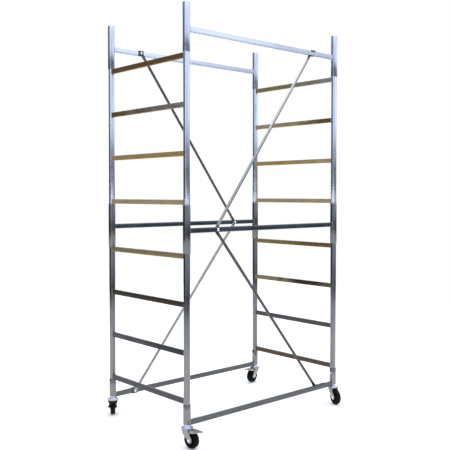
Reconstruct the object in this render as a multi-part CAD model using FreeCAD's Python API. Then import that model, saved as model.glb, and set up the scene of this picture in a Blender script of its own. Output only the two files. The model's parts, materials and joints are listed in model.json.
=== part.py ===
"""Mobile frame scaffold section: two pairs of ladder frames stacked in sleeved rail sets, tied by
bolted braces and standing on four swivel castors. Millimetres, +Z up, X along the long side, -Y the
front, and the origin on the floor under the middle of the four uprights."""

import FreeCAD, Part
import math
import os

os.makedirs("parts", exist_ok=True)

V = FreeCAD.Vector
UP = V(0, 0, 1)

# ---- driving dimensions -------------------------------------------------------------------------
SPAN_X = 1304.0  # between upright centres along the long side
SPAN_Y = 778.0  # between upright centres across the ladder frames
RUNG_PITCH = 280.0
RUNGS_PER_FRAME = 4
UPRIGHT_D = 38.0
UPRIGHT_WALL = 1.5
SLEEVE_WALL = 2.6
SLEEVE_GAP = 0.4  # radial clearance between an upright and its sleeve
SLEEVE_LENGTH = 280.0
BASE_SLEEVE_LENGTH = 113.0
BAR_HEIGHT = 30.0  # rectangular tube of the rungs and rails
BAR_DEPTH = 20.0
BAR_WALL = 1.5
BAR_CORNER = 3.0
RAIL_ABOVE_RUNG = 147.0  # rail axis above the axis of the rung that its sleeves rest on
RAIL_BELOW_SLEEVE = 9.0  # how far a base rail hangs below the foot of its sleeves

BRACE_D = 18.0
BRACE_WALL = 1.2
BRACE_TAB_WIDTH = 24.0
BRACE_TAB_THICK = 3.0
BRACE_TAB_LENGTH = 32.0  # from the hole to where the flattened end starts to round out
BRACE_SWELL_LENGTH = 30.0
BRACE_TOP_INSET = 227.0  # claw on the top rail, from the far upright
BRACE_MID_INSET = 232.0  # through bolt on the middle rail, from the near upright
BRACE_BASE_INSET = 168.0  # claw on the base rail, from the far upright
TAB_GAP = 0.1  # between the faces of a rail, a claw, a tab and a washer
CLAW_WIDTH = 40.0
CLAW_THICK = 3.0
CLAW_LIP = 7.0  # how far the claw hooks down past the far edge of the rail
CLAW_JAW = 9.0  # length of the jaw that turns in under the rail
TONGUE_LENGTH = 62.0  # reach of a base claw along the top of its rail
TONGUE_WIDTH = 14.0
RIVET_D = 8.0
RIVET_HEAD_D = 15.0
RIVET_HEAD_THICK = 3.2
BOLT_D = 10.0
BOLT_HOLE_GAP = 0.25
BOLT_HEAD_D = 20.0
BOLT_HEAD_THICK = 6.0
NUT_ACROSS = 17.0
NUT_THICK = 8.0
WASHER_D = 24.0
WASHER_THICK = 3.0
LUG_LENGTH = 58.0
LUG_HEIGHT = 9.0
LUG_THICK = 3.0
LUG_START = 40.0  # from the upright centre
TUBE_STOP = 4.0  # height of the ring inside a sleeve on which the uprights rest
TUBE_STOP_DEPTH = 2.4

LOCK_BOLT_D = 8.0
LOCK_HEAD_ACROSS = 13.0
LOCK_HEAD_THICK = 5.5
LOCK_BELOW_SLEEVE_TOP = 31.0

WHEEL_D = 100.0
TYRE_WIDTH = 32.0
TYRE_THICK = 13.0
HUB_BOSS_D = 30.0
HUB_BOSS_LENGTH = 36.0
AXLE_D = 10.0
AXLE_GAP = 0.05
TRAIL = 38.0
FORK_THICK = 2.8
FORK_INSIDE = 38.0
FORK_CROWN_D = 72.0
FORK_CROWN_CLEAR = 12.0  # crown plate above the tyre
FORK_SKIRT = 3.5  # height of the unbroken rim below the crown plate
FORK_APRON = 32.0  # the same on the leading side, where the bell wraps round
FORK_FOOT_R = 19.0
FORK_STRAIGHT = 10.0  # the cheeks stand upright from the foot to this height above the axle
CHEEK_EDGE_GAP = 1.4  # between the arms of a brake pedal and the edges of the bell beside them
RACE_D = 50.0
RACE_HEIGHT = 5.0
RACE_GAP = 0.4
STEM_D = 12.0
STEM_GAP = 0.05
STEM_COLLAR_ACROSS = 30.0
PLUG_LENGTH = 51.0
STEM_HEAD = 19.0  # crown plate to the foot of the base sleeve
PEDAL_REACH = 121.0
PEDAL_WIDTH = 45.0
PEDAL_TIP_WIDTH = 20.0
PEDAL_FLANGE = 20.0  # depth of the arms under the tread where they leave the bell
PEDAL_THICK = 2.4
PEDAL_ARM_GAP = 0.7  # between an arm and the side of the tyre
PEDAL_LIFT = 6.0  # underside of the tread above the top of the tyre
PEDAL_PLATE_START = 2.0  # ahead of the rim of the crown
PEDAL_PIVOT_D = 6.0
PEDAL_PIVOT_BACK = 6.0  # behind the swivel axis
PEDAL_PIVOT_DOWN = 20.0  # below the crown plate

# Which way each castor trails at rest, in degrees from +X, and whether it has a brake.
CASTORS = {
    "front_left": (-1, -1, -84.0, True),
    "front_right": (1, -1, -110.0, False),
    "rear_left": (-1, 1, 57.0, False),
    "rear_right": (1, 1, -171.0, True),
}

# ---- sizes that follow --------------------------------------------------------------------------
UPRIGHT_R = UPRIGHT_D / 2
SLEEVE_BORE_R = UPRIGHT_R + SLEEVE_GAP
SLEEVE_R = SLEEVE_BORE_R + SLEEVE_WALL
HALF_BAR = BAR_HEIGHT / 2
WHEEL_R = WHEEL_D / 2
CROWN_Z = WHEEL_D + FORK_CROWN_CLEAR
BASE_FOOT_Z = CROWN_Z + STEM_HEAD  # the foot of the base sleeves, on the castors
BASE_RAIL_Z = BASE_FOOT_Z - RAIL_BELOW_SLEEVE + HALF_BAR
BASE_TOP_Z = BASE_FOOT_Z + BASE_SLEEVE_LENGTH
FRAME_RISE = (RUNGS_PER_FRAME - 1) * RUNG_PITCH
LOWER_RUNG_Z = BASE_TOP_Z + HALF_BAR
MID_SLEEVE_Z = LOWER_RUNG_Z + FRAME_RISE + HALF_BAR
UPPER_RUNG_Z = MID_SLEEVE_Z + SLEEVE_LENGTH + HALF_BAR
TOP_SLEEVE_Z = UPPER_RUNG_Z + FRAME_RISE + HALF_BAR
MID_RAIL_Z = MID_SLEEVE_Z - HALF_BAR + RAIL_ABOVE_RUNG
TOP_RAIL_Z = TOP_SLEEVE_Z - HALF_BAR + RAIL_ABOVE_RUNG
PLUG_TOP_Z = BASE_FOOT_Z + PLUG_LENGTH
FRAME_JOINT_Z = MID_SLEEVE_Z + SLEEVE_LENGTH / 2
TOP_END_Z = TOP_SLEEVE_Z + SLEEVE_LENGTH / 2
HALF_STOP = TUBE_STOP / 2
RAIL_FACE = BAR_DEPTH / 2


def save(name, *solids):
    """Write one node; several solids stay apart in it."""
    shape = solids[0] if len(solids) == 1 else Part.makeCompound(list(solids))
    shape.exportStep(os.path.join("parts", name + ".step"))


def cylinder(radius, length, base, axis=UP):
    return Part.makeCylinder(radius, length, base, axis)


def pipe(radius, wall, length, base, axis=UP):
    return cylinder(radius, length, base, axis).cut(cylinder(radius - wall, length, base, axis))


def hexagon(across, length, base, axis=UP):
    """A hexagonal prism with its corners just broken, standing on base along axis."""
    corner = across / math.sqrt(3)
    points = [V(corner * math.cos(a), corner * math.sin(a), 0)
              for a in (math.radians(60 * i) for i in range(7))]
    prism = Part.Face(Part.makePolygon(points)).extrude(V(0, 0, length))
    chamfer = corner - across / 2
    cone = Part.makeCone(across / 2 + chamfer * 0.4, across / 2 + length, length + chamfer)
    prism = prism.common(cone.mirror(V(0, 0, length / 2), UP))
    prism.Placement = FreeCAD.Placement(base, FreeCAD.Rotation(UP, axis))
    return prism


def rounded_rectangle(width, height, corner):
    """A closed wire in the XY plane, centred on the origin."""
    w, h, c = width / 2, height / 2, corner
    diagonal = c * (1 - math.sqrt(0.5))
    edges = []
    corners = [(w, h, 1, 1), (-w, h, -1, 1), (-w, -h, -1, -1), (w, -h, 1, -1)]
    for i, (x, y, sx, sy) in enumerate(corners):
        side, flat = V(x, y - sy * c, 0), V(x - sx * c, y, 0)
        start, end = (side, flat) if i % 2 == 0 else (flat, side)
        edges.append(Part.Arc(start, V(x - sx * diagonal, y - sy * diagonal, 0), end).toShape())
    joined = []
    for i, edge in enumerate(edges):
        following = edges[(i + 1) % 4]
        joined.append(edge)
        a = edge.valueAt(edge.LastParameter)
        b = following.valueAt(following.FirstParameter)
        joined.append(Part.LineSegment(a, b).toShape())
    return Part.Wire(joined)


def bar(length, middle, along):
    """A rectangular tube standing BAR_HEIGHT tall, centred on middle and running along X or Y."""
    outer = Part.Face(rounded_rectangle(BAR_DEPTH, BAR_HEIGHT, BAR_CORNER))
    inner = Part.Face(rounded_rectangle(BAR_DEPTH - 2 * BAR_WALL, BAR_HEIGHT - 2 * BAR_WALL,
                                        BAR_CORNER - BAR_WALL))
    tube = outer.cut(inner).extrude(V(0, 0, length))
    tube.translate(V(0, 0, -length / 2))
    tube.rotate(V(0, 0, 0), V(1, 0, 0), 90)
    if along == "x":
        tube.rotate(V(0, 0, 0), UP, 90)
    tube.translate(middle)
    return tube


# ---- ladder frames ------------------------------------------------------------------------------
def rung(side, z):
    """A rung with its ends shaped to the uprights that it is welded to."""
    x = side * SPAN_X / 2
    tube = bar(SPAN_Y, V(x, 0, z), "y")
    for end in (-1, 1):
        post = cylinder(UPRIGHT_R, 2 * BAR_HEIGHT, V(x, end * SPAN_Y / 2, z - BAR_HEIGHT))
        tube = tube.cut(post)
    return tube


def ladder_frame(name, side, foot, head, first_rung):
    for end, place in ((-1, "front"), (1, "rear")):
        post = pipe(UPRIGHT_R, UPRIGHT_WALL, head - foot, V(side * SPAN_X / 2, end * SPAN_Y / 2, foot))
        save("%s_%s_upright" % (name, place), post)
    save(name + "_rungs", *[rung(side, first_rung + i * RUNG_PITCH) for i in range(RUNGS_PER_FRAME)])


# ---- rail sets ----------------------------------------------------------------------------------
def sleeve(foot, length, stopped):
    """An open sleeve, with a ring half way up where two uprights would meet."""
    body = pipe(SLEEVE_R, SLEEVE_WALL, length, foot)
    if stopped:
        ring_foot = foot + V(0, 0, length / 2 - HALF_STOP)
        body = body.fuse(pipe(SLEEVE_R - SLEEVE_WALL / 2, SLEEVE_WALL / 2 + TUBE_STOP_DEPTH, TUBE_STOP,
                              ring_foot))
        body = body.removeSplitter()
    return body


def rail_set(name, end, rail_z, sleeve_foot, sleeve_length, stopped):
    """A rail along the long side with the two sleeves that are welded to its ends."""
    y = end * SPAN_Y / 2
    rail = bar(SPAN_X, V(0, y, rail_z), "x")
    if name.startswith("mid"):
        rail = rail.cut(cylinder(BOLT_D / 2 + BOLT_HOLE_GAP, 2 * BAR_DEPTH,
                                 brace_points(end)[1] + V(0, -BAR_DEPTH, 0), V(0, 1, 0)))
    sleeves = []
    for side in (-1, 1):
        foot = V(side * SPAN_X / 2, y, sleeve_foot)
        tube = sleeve(foot, sleeve_length, stopped)
        rail = rail.cut(cylinder(SLEEVE_R, sleeve_length + BAR_HEIGHT, foot - V(0, 0, BAR_HEIGHT)))
        if name.startswith("base"):
            tube = tube.cut(lock_bolt_hole(side, end))
        sleeves.append(tube)
    save(name + "_rail", rail)
    save(name + "_sleeves", *sleeves)


def lock_bolt_seat(side, end):
    """Where the bolt that locks an upright in its base sleeve bears, and which way it points."""
    inward = V(-side, 0, 0)
    z = BASE_TOP_Z - LOCK_BELOW_SLEEVE_TOP
    return V(side * SPAN_X / 2, end * SPAN_Y / 2, z) + inward * UPRIGHT_R, inward


def lock_bolt_hole(side, end):
    tip, inward = lock_bolt_seat(side, end)
    return cylinder(LOCK_BOLT_D / 2, SLEEVE_R, tip, inward)


def lock_bolts():
    solids = []
    for end in (-1, 1):
        for side in (-1, 1):
            tip, inward = lock_bolt_seat(side, end)
            shank_length = SLEEVE_GAP + SLEEVE_WALL + 1.0
            shank = cylinder(LOCK_BOLT_D / 2, shank_length + LOCK_HEAD_THICK / 2, tip, inward)
            shank = shank.cut(cylinder(UPRIGHT_R, 2 * SLEEVE_R,
                                       tip - inward * UPRIGHT_R - V(0, 0, SLEEVE_R)))
            head = hexagon(LOCK_HEAD_ACROSS, LOCK_HEAD_THICK, tip + inward * shank_length, inward)
            solids.append(shank.fuse(head).removeSplitter())
    save("base_sleeve_lock_bolts", *solids)


def rail_lugs():
    """Small upright plates on the base rails beside the sleeves that the braces do not reach."""
    solids = []
    for end in (-1, 1):
        near = end * (SPAN_X / 2 - LUG_START)
        far = near - end * LUG_LENGTH
        z = BASE_RAIL_Z + HALF_BAR
        y = end * SPAN_Y / 2
        corners = [V(near, y, z), V(far, y, z), V(far + end * LUG_HEIGHT * 0.4, y, z + LUG_HEIGHT * 0.6),
                   V(near - end * LUG_HEIGHT, y, z + LUG_HEIGHT), V(near, y, z + LUG_HEIGHT)]
        face = Part.Face(Part.makePolygon(corners + corners[:1]))
        solids.append(face.extrude(V(0, -end * LUG_THICK, 0)))
    save("base_rail_lugs", *solids)


# ---- braces -------------------------------------------------------------------------------------
def brace(start, finish):
    """A round tube with flattened, drilled ends, from one hole centre to the other."""
    run = finish - start
    length = run.Length
    swell_end = BRACE_TAB_LENGTH + BRACE_SWELL_LENGTH
    round_length = length - 2 * swell_end
    body = cylinder(BRACE_D / 2, round_length, V(swell_end, 0, 0), V(1, 0, 0))
    body = body.fuse(brace_end())
    body = body.fuse(brace_end().mirror(V(length / 2, 0, 0), V(1, 0, 0)))
    body = body.cut(cylinder(BRACE_D / 2 - BRACE_WALL, round_length, V(swell_end, 0, 0), V(1, 0, 0)))
    body.Placement = FreeCAD.Placement(start, FreeCAD.Rotation(V(1, 0, 0), run))
    return body


def brace_end():
    """The flattened tab with its hole at the origin, swelling to the round tube along +X."""
    half = BRACE_TAB_THICK / 2
    tab = Part.makeBox(BRACE_TAB_LENGTH, BRACE_TAB_THICK, BRACE_TAB_WIDTH,
                       V(0, -half, -BRACE_TAB_WIDTH / 2))
    tab = tab.fuse(cylinder(BRACE_TAB_WIDTH / 2, BRACE_TAB_THICK, V(0, -half, 0), V(0, 1, 0)))
    tab = tab.cut(cylinder(BOLT_D / 2 + BOLT_HOLE_GAP, BRACE_TAB_THICK, V(0, -half, 0), V(0, 1, 0)))
    sections = []
    for share in (0.0, 0.3, 0.65, 1.0):
        eased = share * share * (3 - 2 * share)
        wide = BRACE_TAB_WIDTH / 2 + (BRACE_D / 2 - BRACE_TAB_WIDTH / 2) * eased
        thick = half + (BRACE_D / 2 - half) * eased
        sections.append(oval(V(BRACE_TAB_LENGTH + share * BRACE_SWELL_LENGTH, 0, 0), wide, thick))
    swell = Part.makeLoft(sections, True)
    return tab.fuse(swell)


def oval(centre, tall, thick):
    """An ellipse across X, drawn as a circle where both radii are the same."""
    if abs(tall - thick) < 1e-6:
        edge = Part.Circle(centre, V(1, 0, 0), tall).toShape()
    else:
        curve = Part.Ellipse(centre + V(0, 0, tall), centre + V(0, thick, 0), centre)
        edge = curve.toShape()
    return Part.Wire([edge])


def brace_points(end):
    """Top claw, middle bolt and base claw of one long side, on the rail axes."""
    y = end * SPAN_Y / 2
    toward = -end  # the front braces reach to the right, the rear ones to the left
    return (V(toward * (SPAN_X / 2 - BRACE_TOP_INSET), y, TOP_RAIL_Z),
            V(-toward * (SPAN_X / 2 - BRACE_MID_INSET), y, MID_RAIL_Z),
            V(toward * (SPAN_X / 2 - BRACE_BASE_INSET), y, BASE_RAIL_Z))


def claw(centre, inward, tongue_to=None):
    """A bent strip hooked over a rail, with a jaw turned in below it and a rivet for the brace."""
    t = CLAW_THICK
    inner = RAIL_FACE + TAB_GAP
    top = HALF_BAR + TAB_GAP
    low = -HALF_BAR - TAB_GAP
    profile = [V(0, inner, low), V(0, inner, top), V(0, -RAIL_FACE - TAB_GAP, top),
               V(0, -RAIL_FACE - TAB_GAP, top - CLAW_LIP), V(0, -RAIL_FACE - TAB_GAP - t, top - CLAW_LIP),
               V(0, -RAIL_FACE - TAB_GAP - t, top + t), V(0, inner + t, top + t),
               V(0, inner + t, low - t), V(0, inner - CLAW_JAW, low - t), V(0, inner - CLAW_JAW, low)]
    strip = Part.Face(Part.makePolygon(profile + profile[:1])).extrude(V(CLAW_WIDTH, 0, 0))
    strip.translate(V(-CLAW_WIDTH / 2, 0, 0))
    if tongue_to is not None:
        reach = tongue_to * (CLAW_WIDTH / 2 + TONGUE_LENGTH)
        tongue = Part.makeBox(abs(reach), TONGUE_WIDTH, t, V(min(0, reach), inner - TONGUE_WIDTH, top))
        strip = strip.fuse(tongue).removeSplitter()
    hole = cylinder(RIVET_D / 2, 2 * t, V(0, inner - 1, 0), V(0, 1, 0))
    strip = strip.cut(hole)
    shank_length = t + 2 * TAB_GAP + BRACE_TAB_THICK
    rivet = cylinder(RIVET_D / 2, shank_length, V(0, inner, 0), V(0, 1, 0))
    head = cylinder(RIVET_HEAD_D / 2, RIVET_HEAD_THICK, V(0, inner + shank_length, 0), V(0, 1, 0))
    rim = [e for e in head.Edges if e.CenterOfMass.y > inner + shank_length + RIVET_HEAD_THICK - 0.1]
    rivet = rivet.fuse(head.makeFillet(RIVET_HEAD_THICK * 0.6, rim))
    solids = [strip, rivet]
    placed = []
    for solid in solids:
        turned = solid if inward.y > 0 else solid.mirror(V(0, 0, 0), V(0, 1, 0))
        turned.translate(centre)
        placed.append(turned)
    return placed


def mid_bolt(mid, inward):
    """The bolt through a middle rail and both brace ends, with its washer and nut."""
    bolt = cylinder(BOLT_D / 2, 2 * RAIL_FACE + WASHER_THICK + 2 * BRACE_TAB_THICK + NUT_THICK + 5.0,
                    mid - inward * RAIL_FACE, inward)
    head = cylinder(BOLT_HEAD_D / 2, BOLT_HEAD_THICK, mid - inward * RAIL_FACE, inward * -1)
    outer_y = (mid - inward * (RAIL_FACE + BOLT_HEAD_THICK)).y
    rim = [e for e in head.Edges if abs(e.CenterOfMass.y - outer_y) < 0.1]
    bolt = bolt.fuse(head.makeFillet(BOLT_HEAD_THICK * 0.6, rim)).removeSplitter()
    hole = cylinder(BOLT_D / 2, 60.0, mid, inward)
    washer = cylinder(WASHER_D / 2, WASHER_THICK, mid + inward * RAIL_FACE, inward).cut(hole)
    nut_seat = RAIL_FACE + WASHER_THICK + 2 * BRACE_TAB_THICK + 3 * TAB_GAP
    nut = hexagon(NUT_ACROSS, NUT_THICK, mid + inward * nut_seat, inward).cut(hole)
    return [bolt, washer, nut]


def side_bracing(name, end):
    """Two braces on the inner face of one long side, with the claws that hold their outer ends."""
    inward = V(0, -end, 0)
    top, mid, base = brace_points(end)
    outer_layer = RAIL_FACE + CLAW_THICK + 2 * TAB_GAP + BRACE_TAB_THICK / 2
    first = RAIL_FACE + WASHER_THICK + TAB_GAP + BRACE_TAB_THICK / 2
    second = first + BRACE_TAB_THICK + TAB_GAP
    save("upper_%s_brace" % name, brace(mid + inward * first, top + inward * outer_layer))
    save("lower_%s_brace" % name, brace(mid + inward * second, base + inward * outer_layer))
    save("upper_%s_brace_claw" % name, *claw(top, inward))
    save("lower_%s_brace_claw" % name, *claw(base, inward, tongue_to=-end))
    return mid_bolt(mid, inward)


# ---- castors, built trailing along +X with the swivel axis on Z ---------------------------------
def tyre():
    """A crowned tyre; its wheel axis is Y through the origin."""
    inner, outer, half = WHEEL_R - TYRE_THICK, WHEEL_R, TYRE_WIDTH / 2
    shoulder = outer - 5.0
    lines = [Part.LineSegment(V(inner, -half + 2, 0), V(inner, half - 2, 0)).toShape(),
             Part.LineSegment(V(inner, half - 2, 0), V(shoulder, half, 0)).toShape(),
             Part.Arc(V(shoulder, half, 0), V(outer, 0, 0), V(shoulder, -half, 0)).toShape(),
             Part.LineSegment(V(shoulder, -half, 0), V(inner, -half + 2, 0)).toShape()]
    return Part.Face(Part.Wire(lines)).revolve(V(0, 0, 0), V(0, 1, 0), 360)


def hub():
    """The wheel centre: a rim, a thin web and a bored boss."""
    rim_r, web, rim_half = WHEEL_R - TYRE_THICK, 4.0, TYRE_WIDTH / 2 - 2
    rim = pipe(rim_r, 4.0, 2 * rim_half, V(0, -rim_half, 0), V(0, 1, 0))
    disc = cylinder(rim_r - 2.0, 2 * web, V(0, -web, 0), V(0, 1, 0))
    boss = cylinder(HUB_BOSS_D / 2, HUB_BOSS_LENGTH, V(0, -HUB_BOSS_LENGTH / 2, 0), V(0, 1, 0))
    bore = cylinder(AXLE_D / 2 + AXLE_GAP, HUB_BOSS_LENGTH, V(0, -HUB_BOSS_LENGTH / 2, 0), V(0, 1, 0))
    return rim.fuse(disc).fuse(boss).cut(bore).removeSplitter()


def bell_sections():
    """Outside of the fork from the crown down: height, middle along X, half length, half width, corner."""
    top = CROWN_Z + FORK_THICK
    crown, foot = FORK_CROWN_D / 2, FORK_FOOT_R
    narrow = FORK_INSIDE / 2 + FORK_THICK
    straight = WHEEL_R + FORK_STRAIGHT
    drop = CROWN_Z - FORK_SKIRT - straight
    flare = crown - narrow
    return [(top, 0.0, crown, crown, crown - 0.5),
            (CROWN_Z - FORK_SKIRT, TRAIL * 0.04, crown, crown - flare * 0.05, crown - 4.0),
            (straight + drop * 0.6, TRAIL * 0.28, crown * 0.95, narrow + flare * 0.75, crown * 0.6),
            (straight + drop * 0.2, TRAIL * 0.62, crown * 0.8, narrow + flare * 0.32, crown * 0.3),
            (straight, TRAIL * 0.8, crown * 0.68, narrow, crown * 0.22),
            (WHEEL_R, TRAIL, foot, narrow, FORK_THICK + 1.0),
            (WHEEL_R - foot - 1.0, TRAIL, foot, narrow, FORK_THICK + 1.0)]


def bell(inset, below):
    """The solid inside the fork's skin, or the whole of it when the inset is nought."""
    wires = []
    for height, middle, half_length, half_width, corner in bell_sections():
        wire = rounded_rectangle(2 * (half_length - inset), 2 * (half_width - inset), corner - inset)
        wire.translate(V(middle, 0, height - below))
        wires.append(wire)
    return Part.makeLoft(wires, True, True)


def fork(braked):
    """A pressed bell: a round crown whose skirt draws in to two cheeks, joined on the leading side."""
    top = CROWN_Z + FORK_THICK
    body = bell(0.0, 0.0).cut(bell(FORK_THICK, FORK_THICK))
    reach = 2 * FORK_CROWN_D
    arms = TYRE_WIDTH / 2 + PEDAL_ARM_GAP + PEDAL_THICK
    slots = [(-reach, FORK_INSIDE / 2, 0.0, CROWN_Z - FORK_APRON),
             (0.0, FORK_INSIDE / 2, 0.0, CROWN_Z - FORK_SKIRT),
             (0.0, arms + CHEEK_EDGE_GAP, WHEEL_R + FORK_STRAIGHT + 14.0, CROWN_Z - FORK_SKIRT)]
    for start, half, low, high in slots:
        body = body.cut(Part.makeBox(reach, 2 * half, high - low, V(start, -half, low)))
    above_axle = Part.makeBox(2 * reach, 2 * reach, reach, V(-reach, -reach, WHEEL_R))
    foot = cylinder(FORK_FOOT_R, 2 * reach, V(TRAIL, -reach, WHEEL_R), V(0, 1, 0))
    body = body.common(above_axle.fuse(foot))
    dish = Part.makeCone(RACE_D / 2 + 5.0, RACE_D / 2, 3.0, V(0, 0, top))
    body = body.fuse(dish)
    body = body.cut(cylinder(STEM_D / 2 + STEM_GAP, 20.0, V(0, 0, CROWN_Z - 2.0)))
    body = body.cut(cylinder(AXLE_D / 2, reach, V(TRAIL, -reach / 2, WHEEL_R), V(0, 1, 0)))
    if braked:
        pin = pedal_pivot()
        body = body.cut(cylinder(PEDAL_PIVOT_D / 2 + AXLE_GAP, reach, V(pin.x, -reach / 2, pin.z),
                                 V(0, 1, 0)))
    return body.removeSplitter()


def axle():
    """A shouldered axle bolt with a domed head, and its nut, clamping the fork's cheeks."""
    outside = FORK_INSIDE / 2 + FORK_THICK
    centre = V(TRAIL, 0, WHEEL_R)
    bolt = cylinder(AXLE_D / 2, 2 * outside + 9.0, centre + V(0, -outside, 0), V(0, 1, 0))
    bolt = bolt.fuse(hexagon(16.0, 6.0, centre + V(0, -outside, 0), V(0, -1, 0)))
    nut = hexagon(16.0, 7.0, centre + V(0, outside, 0), V(0, 1, 0))
    nut = nut.cut(cylinder(AXLE_D / 2, 12.0, centre + V(0, outside - 1.0, 0), V(0, 1, 0)))
    return [bolt, nut]


def race():
    """The ball race between the fork's crown and the stem's collar."""
    foot = CROWN_Z + FORK_THICK + 3.0 + RACE_GAP
    body = Part.makeCone(RACE_D / 2 - 1.0, RACE_D / 2 - 7.0, RACE_HEIGHT, V(0, 0, foot))
    return body.cut(cylinder(STEM_D / 2, RACE_HEIGHT, V(0, 0, foot)))


def stem():
    """The king pin, its hexagonal collar and the plug that fills the foot of the base sleeve."""
    pin_foot = CROWN_Z - 3.0
    collar_foot = CROWN_Z + FORK_THICK + 3.0 + RACE_GAP + RACE_HEIGHT
    pin = cylinder(STEM_D / 2, PLUG_TOP_Z - pin_foot - 5.0, V(0, 0, pin_foot))
    rivet = cylinder(STEM_D / 2 + 4.0, 2.6, V(0, 0, pin_foot))
    collar = hexagon(STEM_COLLAR_ACROSS, BASE_FOOT_Z - collar_foot, V(0, 0, collar_foot))
    plug = cylinder(SLEEVE_BORE_R, PLUG_LENGTH, V(0, 0, BASE_FOOT_Z))
    return pin.fuse(rivet).fuse(collar).fuse(plug).removeSplitter()


def pedal_pivot():
    """Where the brake pedal's pin crosses the fork, behind the top of the tyre."""
    return V(-PEDAL_PIVOT_BACK, 0, CROWN_Z - PEDAL_PIVOT_DOWN)


def pedal():
    """A flat brake pedal above the tyre, on two arms inside the bell, with its pivot pin."""
    pin = pedal_pivot()
    inner = TYRE_WIDTH / 2 + PEDAL_ARM_GAP
    half_pin = FORK_CROWN_D / 2 - 4.0
    under = WHEEL_D + PEDAL_LIFT
    start = FORK_CROWN_D / 2 + PEDAL_PLATE_START
    body = cylinder(PEDAL_PIVOT_D / 2, 2 * half_pin, V(pin.x, -half_pin, pin.z), V(0, 1, 0))
    tip = PEDAL_REACH - PEDAL_TIP_WIDTH / 2
    outline = [(pin.x - 6, pin.z - 6), (pin.x + 6, pin.z - 6), (start, under - PEDAL_FLANGE),
               (tip, under), (tip, under + PEDAL_THICK), (start, under + PEDAL_THICK),
               (start, under - 7), (pin.x - 6, pin.z + 5)]
    corners = [V(x, 0, z) for x, z in outline]
    face = Part.Face(Part.makePolygon(corners + corners[:1]))
    for side in (-1, 1):
        arm = face.extrude(V(0, side * PEDAL_THICK, 0))
        arm.translate(V(0, side * inner, 0))
        body = body.fuse(arm)
    return body.fuse(tread(start, under)).removeSplitter()


def tread(start, under):
    """The plate of a brake pedal, tapering to a rounded tip."""
    wide, narrow = PEDAL_WIDTH / 2, PEDAL_TIP_WIDTH / 2
    corners = [V(start, -wide, under), V(PEDAL_REACH - 2 * narrow, -1.5 * narrow, under),
               V(PEDAL_REACH, -narrow, under), V(PEDAL_REACH, narrow, under),
               V(PEDAL_REACH - 2 * narrow, 1.5 * narrow, under), V(start, wide, under)]
    plate = Part.Face(Part.makePolygon(corners + corners[:1])).extrude(V(0, 0, PEDAL_THICK))
    tips = [e for e in plate.Edges if abs(e.CenterOfMass.x - PEDAL_REACH) < 0.1
            and abs(abs(e.CenterOfMass.y) - narrow) < 0.1]
    return plate.makeFillet(narrow * 0.8, tips)


def castor(name, side, end, heading, braked):
    """Turn one castor to the way it trails and set it under its corner."""
    place = V(side * SPAN_X / 2, end * SPAN_Y / 2, 0)
    nodes = {"stem": [stem(), race()], "fork": [fork(braked)], "axle": axle(),
             "tyre": [wheel_at_axle(tyre())], "hub": [wheel_at_axle(hub())]}
    if braked:
        nodes["brake_pedal"] = [pedal()]
    for piece, solids in nodes.items():
        for solid in solids:
            solid.rotate(V(0, 0, 0), UP, heading)
            solid.translate(place)
        save("%s_castor_%s" % (name, piece), *solids)


def wheel_at_axle(solid):
    solid.translate(V(TRAIL, 0, WHEEL_R))
    return solid


# ---- the whole tower ----------------------------------------------------------------------------
def build():
    for side, word in ((-1, "left"), (1, "right")):
        ladder_frame("lower_" + word, side, PLUG_TOP_Z, FRAME_JOINT_Z - HALF_STOP, LOWER_RUNG_Z)
        ladder_frame("upper_" + word, side, FRAME_JOINT_Z + HALF_STOP, TOP_END_Z - HALF_STOP, UPPER_RUNG_Z)
    bolts = []
    for end, word in ((-1, "front"), (1, "rear")):
        rail_set("base_" + word, end, BASE_RAIL_Z, BASE_FOOT_Z, BASE_SLEEVE_LENGTH, False)
        rail_set("mid_" + word, end, MID_RAIL_Z, MID_SLEEVE_Z, SLEEVE_LENGTH, True)
        rail_set("top_" + word, end, TOP_RAIL_Z, TOP_SLEEVE_Z, SLEEVE_LENGTH, True)
        bolts += side_bracing(word, end)
    save("mid_brace_bolts", *bolts)
    lock_bolts()
    rail_lugs()
    for name, (side, end, heading, braked) in CASTORS.items():
        castor(name, side, end, heading, braked)


build()
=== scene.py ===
"""A mobile scaffold tower section in plated steel: ladder frames, sleeved rails, braces and castors.

Each operator in the Scaffold panel makes one piece, or a group of like pieces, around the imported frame.
Lengths are in metres, +Z is up, X runs along the long sides and -Y is the front."""

import json
import math

import bpy
from bpy.props import FloatProperty, FloatVectorProperty, IntProperty, PointerProperty
from mathutils import Matrix, Vector


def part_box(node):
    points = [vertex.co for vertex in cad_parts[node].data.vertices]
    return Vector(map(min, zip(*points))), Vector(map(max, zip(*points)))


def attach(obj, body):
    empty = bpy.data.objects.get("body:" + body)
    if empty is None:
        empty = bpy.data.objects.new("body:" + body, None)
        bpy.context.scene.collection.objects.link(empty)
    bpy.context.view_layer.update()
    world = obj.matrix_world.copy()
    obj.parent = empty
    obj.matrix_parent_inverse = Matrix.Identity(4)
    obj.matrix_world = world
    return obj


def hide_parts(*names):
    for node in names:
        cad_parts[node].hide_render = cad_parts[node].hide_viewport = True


bl_info = {
    "name": "Scaffold tower section",
    "version": (1, 0, 0),
    "blender": (4, 5, 0),
    "location": "View3D > Sidebar > Scaffold",
    "description": "Builds the plated steel pieces of a mobile scaffold tower section around its frame",
    "category": "Add Mesh",
}

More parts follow.
